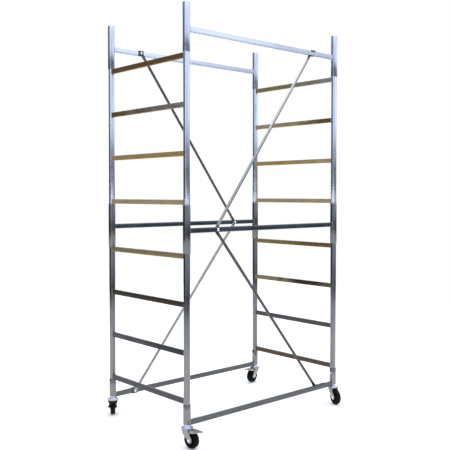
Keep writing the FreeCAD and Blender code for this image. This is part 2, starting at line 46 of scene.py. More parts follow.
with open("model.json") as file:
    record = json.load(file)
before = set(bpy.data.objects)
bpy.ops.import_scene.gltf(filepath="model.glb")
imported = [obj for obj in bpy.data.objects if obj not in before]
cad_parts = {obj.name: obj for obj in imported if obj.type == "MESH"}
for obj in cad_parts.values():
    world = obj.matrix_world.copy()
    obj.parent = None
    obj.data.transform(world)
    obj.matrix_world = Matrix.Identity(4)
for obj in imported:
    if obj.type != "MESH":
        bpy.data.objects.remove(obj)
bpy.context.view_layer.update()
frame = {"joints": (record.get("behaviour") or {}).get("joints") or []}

TOWER = "tower_frame"
MM = 0.001
LEVELS = ("lower", "upper")
SIDES = ("left", "right")
ENDS = ("front", "rear")
RAIL_LEVELS = ("base", "mid", "top")
CASTORS = ("front_left", "front_right", "rear_left", "rear_right")
BRAKED = ("front_left", "rear_right")
JOINTS = {joint["name"]: joint for joint in frame["joints"]}
# Shades of each rung from the lowest up, at its front and rear ends, on either side of the tower.
# The dark shades on the lowest rungs are partly painted shade, darker towards the floor.
RUNG_SHADES = {
    "left": (("slate", "slate"), ("shaded_black", "slate"), ("bark", "bark"), ("khaki", "khaki"),
             ("tan", "tan"), ("gold", "gold"), ("grey", "brown"), ("brown", "brown")),
    "right": (("rust", "rust"), ("slate", "slate"), ("bark", "khaki"), ("brown", "khaki"),
              ("tan", "tan"), ("tan", "gold"), ("brown", "tan"), ("grey", "khaki")),
}
# Heights half way between one rung and the next, in metres.
RUNG_BREAKS = (0.40, 0.68, 0.96, 1.25, 1.55, 1.83, 2.11)
RUNG_TALL = 30.0 * MM
# How far the middle of a weld bead stands off the post.
WELD_STANDOFF = 0.3 * MM
WASHER_THICK = 3 * MM
LUG_THICK = 3 * MM
# A lug's side: millimetres from the upright's axis, and the share of its height.
LUG_SIDE = ((40, 0), (98, 0), (95.5, 0.45), (86, 0.62), (70, 0.80), (52, 0.97), (42, 1.0), (40, 0.85))
# From the sleeve's axis to the seat of its lock bolt.
LOCK_BOLT_SEAT = 22.3 * MM
# Turned shapes as (radius, height) points in millimetres.
RIVET = ((0, -6), (3.9, -6), (3.9, 0), (7.5, 0), (7.3, 0.9), (6.2, 2.1), (4.2, 2.9), (2.0, 3.15), (0, 3.2))
DOMED_HEAD = ((0, -6.0), (4.2, -5.7), (7.6, -4.4), (9.5, -2.2), (10, 0), (4.95, 0))
BALL_RACE = ((6, 0), (23.2, 0), (24.0, 0.9), (23.4, 2.2), (21.8, 3.0), (20.6, 4.4), (18.5, 5.0), (6, 5.0))
HUB_FACE = ((5.05, 18.0), (12.0, 18.0), (14.2, 17.0), (15.0, 14.0), (15.6, 6.0), (17.0, 4.4), (29.5, 4.0),
            (31.5, 5.2), (32.6, 9.0))
CROWN_DISH = ((6.1, 3.0), (24.4, 3.0), (25.6, 2.6), (26.8, 1.0), (28.2, 0.1), (33.2, 0.0))


# ---- sizes and colours --------------------------------------------------------------------------
def length(about, millimetres):
    return FloatProperty(name=about, default=millimetres * MM, min=0.0, unit="LENGTH", precision=5)


def colour(about, default):
    return FloatVectorProperty(name=about, default=default, size=3, min=0.0, max=1.0, subtype="COLOR")


class ScaffoldTubes(bpy.types.PropertyGroup):
    upright_wall: length("Wall of the round uprights", 1.5)
    sleeve_wall: length("Wall of the round sleeves", 2.6)
    bar_corner: length("Rounding of the rectangular tubes", 3.0)
    rim: length("Softening of cut tube ends", 0.5)
    weld: length("Radius of the weld beads", 2.1)
    sides: IntProperty(name="Sides", description="Sides of a round tube", default=48, min=12)


class ScaffoldBraces(bpy.types.PropertyGroup):
    radius: length("Outer radius of the round part", 9.0)
    tab_width: length("Width of the flattened ends", 24.0)
    tab_thick: length("Thickness of the flattened ends", 3.0)
    tab_length: length("Hole to the start of the swell", 32.0)
    swell: length("Length over which an end turns round", 30.0)
    gap: length("Space between stacked faces", 0.1)
    claw_thick: length("Thickness of the claw strip", 3.0)
    claw_width: length("Width of the claw strip", 40.0)
    claw_lip: length("How far the claw hooks down the far face", 7.0)
    claw_jaw: length("How far the jaw turns in below the rail", 9.0)
    tongue_width: length("Width of the tongue of a base claw", 14.0)


class ScaffoldCastors(bpy.types.PropertyGroup):
    wheel: length("Radius of the wheel", 50.0)
    tyre_half: length("Half the width of the tyre", 16.0)
    tyre_thick: length("Depth of the rubber", 13.0)
    fork_half: length("Middle to the inside of a cheek", 19.0)
    sheet: length("Thickness of the fork", 2.8)
    crown: length("Radius of the round crown", 36.0)
    crown_z: length("Floor to the underside of the crown", 112.0)
    skirt: length("Height of the unbroken rim below the crown", 3.5)
    apron: length("Height of the bell's leading side below the crown", 32.0)
    foot: length("Radius of the cheek round the axle", 18.9)
    collar_top: length("Floor to the foot of the base sleeve", 131.0)
    plug: length("Length of the plug in the base sleeve", 51.0)
    pedal_sheet: length("Thickness of the brake pedal", 2.4)
    pedal_half: length("Half the width of the pedal's tread", 22.5)
    pedal_tip: length("Half the width of the pedal's tip", 10.0)
    pedal_flange: length("Depth of the pedal's arms beside the bell", 20.0)
    pedal_reach: length("Swivel axis to the tip of the pedal", 121.0)


class ScaffoldColours(bpy.types.PropertyGroup):
    # The colours by height are partly the plating's own and partly painted light: a painted reflection
    # makes the tops lighter and bluer, and painted shade makes the tubes and rails darker lower down.
    high: colour("Plating of the round tubes at the top, partly painted reflection", (0.62, 0.67, 0.79))
    middle: colour("Plating of the round tubes half way up, partly painted shade", (0.168, 0.172, 0.182))
    low: colour("Plating of the round tubes near the floor, partly painted shade", (0.225, 0.215, 0.215))
    rail_high: colour("Plating of the top rails, partly painted reflection", (0.54, 0.585, 0.68))
    rail_middle: colour("Plating of the middle rails, partly painted shade", (0.11, 0.125, 0.135))
    rail_low: colour("Plating of the base rails, partly painted shade", (0.108, 0.108, 0.107))
    rung_tan: colour("Yellow passivated plating of the rungs", (0.42, 0.32, 0.19))
    rung_gold: colour("Warmer passivated plating", (0.40, 0.26, 0.10))
    rung_brown: colour("Dark brown passivated plating", (0.15, 0.085, 0.030))
    rung_bark: colour("The darkest brown plating, partly painted shade", (0.035, 0.024, 0.012))
    rung_grey: colour("Rungs with little colour left in the plating", (0.26, 0.255, 0.24))
    # Painted shade: the dark rung colours near the floor stand partly for shade.
    rung_slate: colour("Dark grey plating near the floor, partly painted shade", (0.075, 0.070, 0.068))
    rung_khaki: colour("Duller yellow plating", (0.24, 0.19, 0.09))
    rung_shaded_black: colour("Plating near the floor, nearly black with painted shade", (0.025, 0.025, 0.027))
    rung_rust: colour("Reddish brown plating near the floor, partly painted shade", (0.10, 0.060, 0.042))
    brace: colour("Plating of the braces that rise to the right", (0.30, 0.30, 0.305))
    # Painted shade: the braces that rise to the left are coloured darker than the others.
    brace_dull: colour("Duller plating of the braces that rise to the left", (0.085, 0.083, 0.080))
    # Painted shade: the rear-left fork's cheeks are coloured nearly black below its crown.
    fork_painted_shade: colour("Painted shade on the cheeks of the rear-left fork", (0.012, 0.012, 0.012))
    claw: colour("Dark strip of the claws", (0.10, 0.10, 0.11))
    bright: colour("Bright plating of the fasteners", (0.80, 0.83, 0.88))
    head: colour("Blue-white plating of the swivel heads", (0.66, 0.68, 0.86))
    crown: colour("Bluer plating on top of the forks", (0.50, 0.50, 0.62))
    fork: colour("Warm grey plating of the forks", (0.33, 0.315, 0.29))
    rubber: colour("Rubber of the tyres", (0.003, 0.003, 0.0035))
    hub: colour("Moulded wheel centres", (0.004, 0.004, 0.0045))


class ScaffoldStage(bpy.types.PropertyGroup):
    eye: FloatVectorProperty(name="Where the camera stands", default=(-3.196, -3.560, 1.455), size=3,
                             unit="LENGTH")
    heading: FloatProperty(name="Turn of the camera from +Y towards +X", default=math.radians(41.83),
                           subtype="ANGLE")
    tilt: FloatProperty(name="Tilt of the camera above level", default=math.radians(-1.62), subtype="ANGLE")
    lens: FloatProperty(name="Focal length on a 36 mm sensor", default=56.84)
    rise: FloatProperty(name="Vertical shift of the lens", default=-0.0236)


# ---- making shapes ------------------------------------------------------------------------------
def start_fresh():
    """Leave edit mode and select nothing, so that the next operator acts on its own piece."""
    if bpy.context.object and bpy.context.object.mode != "OBJECT":
        bpy.ops.object.mode_set(mode="OBJECT")
    bpy.ops.object.select_all(action="DESELECT")


def make_active(piece):
    start_fresh()
    piece.select_set(True)
    bpy.context.view_layer.objects.active = piece


def edit(piece):
    make_active(piece)
    bpy.ops.object.mode_set(mode="EDIT")
    bpy.ops.mesh.select_all(action="SELECT")


def leave_edit():
    bpy.ops.object.mode_set(mode="OBJECT")


def name_piece(piece, name):
    piece.name = name
    piece.data.name = name
    return piece


def settle(piece):
    """Put the piece's place into its mesh and its origin at the world's."""
    make_active(piece)
    bpy.ops.object.transform_apply(location=True, rotation=True, scale=True)


def place(piece, matrix):
    settle(piece)
    piece.data.transform(matrix)
    return piece


def shift(x, y, z):
    return Matrix.Translation((x, y, z))


def turned(degrees, axis):
    return Matrix.Rotation(math.radians(degrees), 4, axis)


def in_mm(*points):
    """Points listed in millimetres, in metres."""
    return [(across * MM, up * MM) for across, up in points]


def mirrored(profile):
    """The other half of a turned profile, from its middle on."""
    return [(radius, -height) for radius, height in reversed(profile)]


def modify(piece, kind, **values):
    """Add a modifier, set its values and apply it."""
    make_active(piece)
    modifier = piece.modifiers.new(kind.title(), kind)
    for key, value in values.items():
        setattr(modifier, key, value)
    bpy.ops.object.modifier_apply(modifier=modifier.name)


def bevel(piece, width, segments=2, angle=30):
    modify(piece, "BEVEL", width=width, segments=segments, limit_method="ANGLE",
           angle_limit=math.radians(angle), harden_normals=False)


def smooth(piece, angle=35):
    make_active(piece)
    bpy.ops.object.shade_smooth_by_angle(angle=math.radians(angle))


def face_outwards(piece):
    edit(piece)
    bpy.ops.mesh.remove_doubles(threshold=1e-6)
    bpy.ops.mesh.normals_make_consistent(inside=False)
    leave_edit()


def join(pieces, name):
    """Several pieces become one, with its origin at the world's."""
    for piece in pieces:
        settle(piece)
    start_fresh()
    for piece in pieces:
        piece.select_set(True)
    bpy.context.view_layer.objects.active = pieces[0]
    if len(pieces) > 1:
        bpy.ops.object.join()
    return name_piece(bpy.context.object, name)


def along(start, direction):
    """The matrix that takes +Z at the origin to a direction at a start point."""
    turn = Vector((0, 0, 1)).rotation_difference(Vector(direction)).to_matrix().to_4x4()
    return Matrix.Translation(Vector(start)) @ turn


def lathe(profile, steps=48, closed=True):
    """A turned shape on the Z axis through (radius, height) points, listed round its section."""
    start_fresh()
    bpy.ops.mesh.primitive_plane_add(size=0.01)
    piece = bpy.context.object
    edit(piece)
    bpy.ops.mesh.merge(type="CENTER")
    here = Vector((0, 0, 0))
    points = list(profile) + (list(profile[:1]) if closed else [])
    for index, (radius, height) in enumerate(points):
        there = Vector((radius, 0, height))
        if index == 0:
            bpy.ops.transform.translate(value=there - here)
        else:
            bpy.ops.mesh.extrude_vertices_move(TRANSFORM_OT_translate={"value": there - here})
        here = there
    bpy.ops.mesh.select_all(action="SELECT")
    bpy.ops.mesh.spin(steps=steps, angle=2 * math.pi, center=(0, 0, 0), axis=(0, 0, 1))
    leave_edit()
    face_outwards(piece)
    return piece


def prism(corners, thickness, rim=0.0, segments=2):
    """A plate on the XY plane through listed corners, standing thickness high, with softened edges."""
    start_fresh()
    bpy.ops.mesh.primitive_circle_add(vertices=len(corners), radius=0.01, fill_type="NGON")
    piece = bpy.context.object
    for vertex, (x, y) in zip(piece.data.vertices, corners):
        vertex.co = (x, y, 0)
    edit(piece)
    bpy.ops.mesh.extrude_region_move(TRANSFORM_OT_translate={"value": (0, 0, thickness)})
    leave_edit()
    face_outwards(piece)
    if rim:
        bevel(piece, rim, segments)
    return piece


def hexagon(across, height, rim):
    start_fresh()
    bpy.ops.mesh.primitive_cylinder_add(vertices=6, radius=across / math.sqrt(3), depth=height,
                                        location=(0, 0, height / 2))
    piece = bpy.context.object
    settle(piece)
    bevel(piece, rim, 2)
    return piece


def round_tube(radius, wall, foot, head, rim, sides):
    """An upright open tube with softened rims."""
    start_fresh()
    middle = ((foot[0] + head[0]) / 2, (foot[1] + head[1]) / 2, (foot[2] + head[2]) / 2)
    bpy.ops.mesh.primitive_cylinder_add(vertices=sides, radius=radius, depth=head[2] - foot[2],
                                        end_fill_type="NOTHING", location=middle)
    piece = bpy.context.object
    settle(piece)
    modify(piece, "SOLIDIFY", thickness=wall, offset=-1, use_even_offset=True)
    bevel(piece, rim, 2, 60)
    smooth(piece)
    return piece


def bar_outline(depth, height, corner, steps=5):
    """Points round a rounded rectangle, anticlockwise from the middle of its right side."""
    points = []
    quarters = ((1, 1, 0), (-1, 1, 90), (-1, -1, 180), (1, -1, 270))
    for sx, sy, first in quarters:
        cx, cy = sx * (depth / 2 - corner), sy * (height / 2 - corner)
        for step in range(steps + 1):
            a = math.radians(first + 90 * step / steps)
            points.append((cx + corner * math.cos(a), cy + corner * math.sin(a)))
    return points


def bar(low, high, axis, corner, bury):
    """A rectangular tube between two corners of a box, with its ends buried a little in the posts."""
    low, high = Vector(low), Vector(high)
    low[axis] -= bury
    high[axis] += bury
    span = high[axis] - low[axis]
    middle = (low + high) / 2
    depth = (high - low)[1 - axis]
    outline = bar_outline(depth, high[2] - low[2], corner)
    piece = prism(outline, span)
    piece.data.transform(shift(0, 0, -span / 2))
    turn = turned(90, "X")
    if axis == 0:
        turn = turned(90, "Z") @ turn
    place(piece, Matrix.Translation(middle) @ turn)
    smooth(piece, 30)
    return piece


def weld_bead(points, radius, seed):
    """A closed bead of overlapping ripples that follows a loop of points."""
    curve = bpy.data.curves.new("bead", "CURVE")
    curve.dimensions = "3D"
    curve.bevel_depth = radius
    curve.bevel_resolution = 1
    spline = curve.splines.new("POLY")
    spline.points.add(len(points) - 1)
    for index, point in enumerate(points):
        spline.points[index].co = (*point, 1)
        ripple = (1.0, 0.86, 0.72, 0.86)[index % 4]
        spline.points[index].radius = ripple * (1 + 0.12 * math.sin(index * 0.37 + seed))
    spline.use_cyclic_u = True
    piece = bpy.data.objects.new("bead", curve)
    bpy.context.scene.collection.objects.link(piece)
    make_active(piece)
    bpy.ops.object.convert(target="MESH")
    piece = bpy.context.object
    face_outwards(piece)
    return piece


def saddle_loop(centre, axis, toward, depth, height, corner, post_radius):
    """Where a rectangular bar that runs along an axis meets a round post, as points round the bar."""
    dense = []
    outline = bar_outline(depth, height, corner, 3)
    for index, (x, y) in enumerate(outline):
        nx, ny = outline[(index + 1) % len(outline)]
        cuts = max(1, round(math.hypot(nx - x, ny - y) / (1.3 * MM)))
        dense += [(x + (nx - x) * k / cuts, y + (ny - y) * k / cuts) for k in range(cuts)]
    points = []
    for across, up in dense:
        out = math.sqrt(max(post_radius ** 2 - across ** 2, 0.0)) * toward
        offset = (across, out, up) if axis == 1 else (out, across, up)
        points.append(Vector(centre) + Vector(offset))
    return points


# ---- shader groups ------------------------------------------------------------------------------
MID_GREY = (0.5, 0.5, 0.5, 1)


def make_group(name, inputs, outputs):
    group = bpy.data.node_groups.new(name, "ShaderNodeTree")
    for label, kind, default in inputs:
        socket = group.interface.new_socket(name=label, in_out="INPUT", socket_type=kind)
        socket.default_value = default
    for label, kind in outputs:
        group.interface.new_socket(name=label, in_out="OUTPUT", socket_type=kind)
    return group, group.nodes.new("NodeGroupInput"), group.nodes.new("NodeGroupOutput")


def noise(tree, vector, scale, detail, roughness=0.5):
    node = tree.nodes.new("ShaderNodeTexNoise")
    node.inputs["Scale"].default_value = scale
    node.inputs["Detail"].default_value = detail
    node.inputs["Roughness"].default_value = roughness
    tree.links.new(vector, node.inputs["Vector"])
    return node.outputs["Fac"]


def math_node(tree, operation, first, second):
    node = tree.nodes.new("ShaderNodeMath")
    node.operation = operation
    for socket, value in zip(node.inputs, (first, second)):
        if isinstance(value, (int, float)):
            socket.default_value = value
        else:
            tree.links.new(value, socket)
    return node.outputs[0]


def plus(tree, first, second):
    return math_node(tree, "ADD", first, second)


def times(tree, first, second):
    return math_node(tree, "MULTIPLY", first, second)


def split_xyz(tree, vector):
    node = tree.nodes.new("ShaderNodeSeparateXYZ")
    tree.links.new(vector, node.inputs[0])
    return node.outputs


def remap(tree, value, low, high, to_low=0.0, to_high=1.0):
    node = tree.nodes.new("ShaderNodeMapRange")
    for label, number in (("From Min", low), ("From Max", high), ("To Min", to_low), ("To Max", to_high)):
        node.inputs[label].default_value = number
    tree.links.new(value, node.inputs["Value"])
    return node.outputs["Result"]


def mix_colour(tree, factor, first, second, blend="MIX"):
    node = tree.nodes.new("ShaderNodeMix")
    node.data_type = "RGBA"
    node.blend_type = blend
    for socket, value in ((node.inputs[0], factor), (node.inputs[6], first), (node.inputs[7], second)):
        if isinstance(value, (int, float)):
            socket.default_value = value
        elif isinstance(value, tuple):
            socket.default_value = (*value, 1.0)
        else:
            tree.links.new(value, socket)
    return node.outputs[2]


def scaled(tree, vector, factors):
    node = tree.nodes.new("ShaderNodeMapping")
    node.inputs["Scale"].default_value = factors
    tree.links.new(vector, node.inputs["Vector"])
    return node.outputs["Vector"]


def plating_group():
    """Cloudy plating with fine draw lines. Lines is how stretched the lines are along each axis."""
    group, given, result = make_group(
        "Plating",
        [("Vector", "NodeSocketVector", (0, 0, 0)), ("Colour", "NodeSocketColor", MID_GREY),
         ("Lines", "NodeSocketVector", (1, 1, 1)), ("Cloud", "NodeSocketFloat", 0.2),
         ("Sheen", "NodeSocketFloat", 0.3)],
        [("Colour", "NodeSocketColor"), ("Roughness", "NodeSocketFloat"), ("Height", "NodeSocketFloat")])
    vector = given.outputs["Vector"]
    cloud = noise(group, vector, 9.0, 3.0, 0.5)
    spots = noise(group, vector, 160.0, 3.0, 0.7)
    multiply = group.nodes.new("ShaderNodeVectorMath")
    multiply.operation = "MULTIPLY"
    group.links.new(vector, multiply.inputs[0])
    group.links.new(given.outputs["Lines"], multiply.inputs[1])
    lines = noise(group, multiply.outputs[0], 1.0, 3.0, 0.6)
    tone = plus(group, times(group, cloud, 0.75),
                     times(group, lines, 0.25))
    shade = remap(group, tone, 0.32, 0.68, -1.0, 1.0)
    strength = plus(group, 1.0, times(group, shade, given.outputs["Cloud"]))
    scale = group.nodes.new("ShaderNodeVectorMath")
    scale.operation = "SCALE"
    group.links.new(given.outputs["Colour"], scale.inputs[0])
    group.links.new(strength, scale.inputs["Scale"])
    marks = remap(group, spots, 0.66, 0.80)
    faint = times(group, marks, 0.16)
    colour_out = mix_colour(group, faint, scale.outputs[0], (0.20, 0.19, 0.19))
    group.links.new(colour_out, result.inputs["Colour"])
    rough = plus(group, given.outputs["Sheen"], times(group, shade, 0.06))
    rough = plus(group, rough, times(group, marks, 0.12))
    group.links.new(rough, result.inputs["Roughness"])
    height = plus(group, lines, times(group, spots, 0.4))
    group.links.new(height, result.inputs["Height"])


def height_tint_group():
    """Three colours that change over up the tower: partly the plating's own, partly painted reflection and
    shade, lighter and bluer at the top and darker below.
    """
    levels = [(level, "NodeSocketColor", MID_GREY) for level in ("Low", "Middle", "High")]
    group, given, result = make_group("Height tint", [("Vector", "NodeSocketVector", (0, 0, 0))] + levels,
                                      [("Colour", "NodeSocketColor")])
    height = split_xyz(group, given.outputs["Vector"])["Z"]
    lower = remap(group, height, 0.45, 0.62)
    upper = remap(group, height, 1.385, 1.41)
    under = mix_colour(group, lower, given.outputs["Low"], given.outputs["Middle"])
    whole = mix_colour(group, upper, under, given.outputs["High"])
    group.links.new(whole, result.inputs["Colour"])


# ---- materials ----------------------------------------------------------------------------------
def place_group(tree, group, **values):
    node = tree.nodes.new("ShaderNodeGroup")
    node.node_tree = group
    for label, value in values.items():
        socket = node.inputs[label]
        if isinstance(value, bpy.types.NodeSocket):
            tree.links.new(value, socket)
        elif socket.type == "RGBA":
            socket.default_value = (*value, 1.0)
        else:
            socket.default_value = value
    return node


def new_material(name):
    material = bpy.data.materials.new(name)
    material.use_nodes = True
    tree = material.node_tree
    shader = tree.nodes["Principled BSDF"]
    place_at = tree.nodes.new("ShaderNodeTexCoord").outputs["Object"]
    return material, tree, shader, place_at


def add_bump(tree, shader, height, strength, distance):
    bump = tree.nodes.new("ShaderNodeBump")
    bump.inputs["Strength"].default_value = strength
    bump.inputs["Distance"].default_value = distance
    tree.links.new(height, bump.inputs["Height"])
    tree.links.new(bump.outputs["Normal"], shader.inputs["Normal"])


def plated(name, colour_source, lines, cloud, sheen, metallic=1.0, specular=0.5):
    """A plated steel. colour_source is a colour, or a function of the tree and its coordinates."""
    _, tree, shader, place_at = new_material(name)
    base = colour_source(tree, place_at) if callable(colour_source) else tuple(colour_source)
    plating = place_group(tree, bpy.data.node_groups["Plating"], Vector=place_at, Colour=base,
                          Lines=lines, Cloud=cloud, Sheen=sheen)
    tree.links.new(plating.outputs["Colour"], shader.inputs["Base Color"])
    tree.links.new(plating.outputs["Roughness"], shader.inputs["Roughness"])
    shader.inputs["Metallic"].default_value = metallic
    shader.inputs["Specular IOR Level"].default_value = specular
    add_bump(tree, shader, plating.outputs["Height"], 0.03, 0.0001)


def level_tint(low, middle, high):
    """A tint that changes over between three of the tower's colours, by height, partly painted reflection
    and shade.
    """
    def tint(tree, place_at):
        colours = bpy.context.scene.scaffold_colours
        node = place_group(tree, bpy.data.node_groups["Height tint"], Vector=place_at,
                           Low=tuple(getattr(colours, low)), Middle=tuple(getattr(colours, middle)),
                           High=tuple(getattr(colours, high)))
        return node.outputs["Colour"]
    return tint


def crown_tint(cheeks, start, end):
    """A tint that turns from a fork's cheek colour to its crown's, between two heights."""
    def tint(tree, place_at):
        colours = bpy.context.scene.scaffold_colours
        crown = remap(tree, split_xyz(tree, place_at)["Z"], start, end)
        return mix_colour(tree, crown, tuple(getattr(colours, cheeks)), tuple(colours.crown))
    return tint


def rung_tint(tree, place_at):
    """Passivated plating that differs from rung to rung and drifts from one shade to the next, with painted
    shade in the dark colours of the lowest rungs.
    """
    split = split_xyz(tree, place_at)
    right = math_node(tree, "GREATER_THAN", split["X"], 0.0)
    front = mix_colour(tree, right, *[rung_shade_at(tree, split, side, 0) for side in SIDES])
    rear = mix_colour(tree, right, *[rung_shade_at(tree, split, side, 1) for side in SIDES])
    patches = noise(tree, scaled(tree, place_at, (1.3, 4.0, 9.0)), 1.0, 3.0, 0.6)
    wander = remap(tree, patches, 0.35, 0.65, -0.25, 0.25)
    drift = plus(tree, split["Y"], wander)
    return mix_colour(tree, remap(tree, drift, -0.25, 0.20), front, rear)


def rung_shade_at(tree, split, side, end):
    """The shade that the rungs of one side have at one end, by height."""
    colours = bpy.context.scene.scaffold_colours
    shades = [tuple(getattr(colours, "rung_" + pair[end])) for pair in RUNG_SHADES[side]]
    colour_at = shades[0]
    for below, shade in zip(RUNG_BREAKS, shades[1:]):
        above = math_node(tree, "GREATER_THAN", split["Z"], below)
        colour_at = mix_colour(tree, above, colour_at, shade)
    return colour_at


def dull_black(name, base, dust_noise, dust_from, dust, rough, grain, relief):
    """Rubber or moulded plastic with a fine grain, dusty in places.

    dust_noise is a scale, a detail and a roughness; dust_from is where on that noise the dust starts and
    ends; dust is its strength and its colour; rough is the roughness without dust and with it; grain is a
    scale, and relief is its strength and its height."""
    _, tree, shader, place_at = new_material(name)
    dusty = remap(tree, noise(tree, place_at, *dust_noise), *dust_from)
    strength, tint = dust
    tinted = mix_colour(tree, times(tree, dusty, strength), tuple(base), tint)
    tree.links.new(tinted, shader.inputs["Base Color"])
    tree.links.new(remap(tree, dusty, 0.0, 1.0, *rough), shader.inputs["Roughness"])
    shader.inputs["Specular IOR Level"].default_value = 0.08
    add_bump(tree, shader, noise(tree, place_at, grain, 2.0), *relief)


def finish_with(piece, material, body, nodes):
    """Give a piece its material and body, and hide the nodes that it stands for."""
    piece.data.materials.clear()
    piece.data.materials.append(bpy.data.materials[material])
    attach(piece, body)
    if nodes:
        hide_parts(*nodes)


def finish_welds(beads, name):
    """Weld beads become one piece, which stands for no node of the frame."""
    welds = join(beads, name)
    smooth(welds, 60)
    finish_with(welds, "Weld metal", TOWER, [])


def box_of(node):
    low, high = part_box(node)
    return Vector(low), Vector(high)


def inward_of(end):
    """The way to the inside of the tower along Y."""
    return 1 if end == "front" else -1


def middle_of(node):
    low, high = box_of(node)
    return (low + high) / 2


def corner_axis(castor):
    """The upright and swivel axis of a corner, at floor height."""
    x, y, _ = JOINTS[castor + "_castor_swivel"]["pos_m"]
    return Vector((x, y, 0))


def corners_on(end):
    return [corner_axis(castor) for castor in CASTORS if castor.startswith(end)]


# ---- ladder frames ------------------------------------------------------------------------------
def rung_boxes(node):
    """The boxes of the four evenly spaced rungs in a node."""
    low, high = box_of(node)
    pitch = (high.z - low.z - RUNG_TALL) / 3
    feet = [low.z + index * pitch for index in range(4)]
    return [(Vector((low.x, low.y, foot)), Vector((high.x, high.y, foot + RUNG_TALL))) for foot in feet]


class SCAFFOLD_OT_uprights(bpy.types.Operator):
    """Makes the round uprights of the ladder frames"""
    bl_idname = "scaffold.uprights"
    bl_label = "Uprights"

    def execute(self, context):
        tubes = context.scene.scaffold_tubes
        for node in [f"{level}_{side}_{end}_upright" for level in LEVELS for side in SIDES for end in ENDS]:
            low, high = box_of(node)
            x, y = (low.x + high.x) / 2, (low.y + high.y) / 2
            piece = round_tube((high.x - low.x) / 2, tubes.upright_wall, (x, y, low.z),
                               (x, y, high.z), tubes.rim, tubes.sides)
            name_piece(piece, node.replace("upright", "post"))
            finish_with(piece, "Tube plating", TOWER, [node])
        return {"FINISHED"}


class SCAFFOLD_OT_rungs(bpy.types.Operator):
    """Makes the rungs of the ladder frames and the welds that hold them"""
    bl_idname = "scaffold.rungs"
    bl_label = "Rungs"

    def execute(self, context):
        tubes = context.scene.scaffold_tubes
        for level in LEVELS:
            for side in SIDES:
                self.frame_rungs(tubes, f"{level}_{side}")
        return {"FINISHED"}

    def frame_rungs(self, tubes, stem):
        node = stem + "_rungs"
        post_low, post_high = box_of(stem + "_front_upright")
        radius = (post_high.x - post_low.x) / 2
        bars, beads = [], []
        for index, (low, high) in enumerate(rung_boxes(node)):
            bars.append(bar(low, high, 1, tubes.bar_corner, 2 * MM))
            for end in ENDS:
                post = middle_of(f"{stem}_{end}_upright")
                toward = inward_of(end)
                centre = Vector((post.x, post.y, (low.z + high.z) / 2))
                loop = saddle_loop(centre, 1, toward, high.x - low.x, high.z - low.z, tubes.bar_corner,
                                   radius + WELD_STANDOFF)
                beads.append(weld_bead(loop, tubes.weld, index + toward))
        finish_with(join(bars, stem + "_rung_bars"), "Rung plating", TOWER, [node])
        finish_welds(beads, stem + "_rung_welds")


# ---- rails --------------------------------------------------------------------------------------
class SCAFFOLD_OT_rails(bpy.types.Operator):
    """Makes the long-side rails, their sleeves and their welds"""
    bl_idname = "scaffold.rails"
    bl_label = "Rails and sleeves"

    def execute(self, context):
        tubes = context.scene.scaffold_tubes
        for level in RAIL_LEVELS:
            for end in ENDS:
                self.rail_set(tubes, f"{level}_{end}", end)
        return {"FINISHED"}

    def rail_set(self, tubes, stem, end):
        low, high = box_of(stem + "_rail")
        rail = bar(low, high, 0, tubes.bar_corner, -1 * MM)
        finish_with(name_piece(rail, stem + "_bar"), "Rail plating", TOWER, [stem + "_rail"])
        sleeve_low, sleeve_high = box_of(stem + "_sleeves")
        radius = (sleeve_high.y - sleeve_low.y) / 2
        parts, beads = [], []
        for corner in corners_on(end):
            parts.append(round_tube(radius, tubes.sleeve_wall, (corner.x, corner.y, sleeve_low.z),
                                    (corner.x, corner.y, sleeve_high.z), 2 * tubes.rim, tubes.sides))
            toward = 1 if corner.x < 0 else -1
            centre = Vector((corner.x, corner.y, (low.z + high.z) / 2))
            loop = saddle_loop(centre, 0, toward, high.y - low.y, high.z - low.z, tubes.bar_corner,
                               radius + WELD_STANDOFF)
            loop = [point for point in loop if point.z > sleeve_low.z + tubes.weld]
            beads.append(weld_bead(loop, tubes.weld * 1.1, corner.x))
        if not stem.startswith("base"):
            half_way = (sleeve_low.z + sleeve_high.z) / 2
            parts += [self.tube_stop(tubes, corner, half_way) for corner in corners_on(end)]
        sleeves = join(parts, stem + "_sockets")
        finish_with(sleeves, "Tube plating", TOWER, [stem + "_sleeves"])
        finish_welds(beads, stem + "_rail_welds")

    def tube_stop(self, tubes, corner, height):
        """The ring half way up a sleeve on which the upright above it stands."""
        outer, inner, half = 19.6 * MM, 17.0 * MM, 1.9 * MM
        ring = lathe([(inner, -half), (outer, -half), (outer, half), (inner, half)], tubes.sides)
        smooth(ring)
        return place(ring, shift(corner.x, corner.y, height))


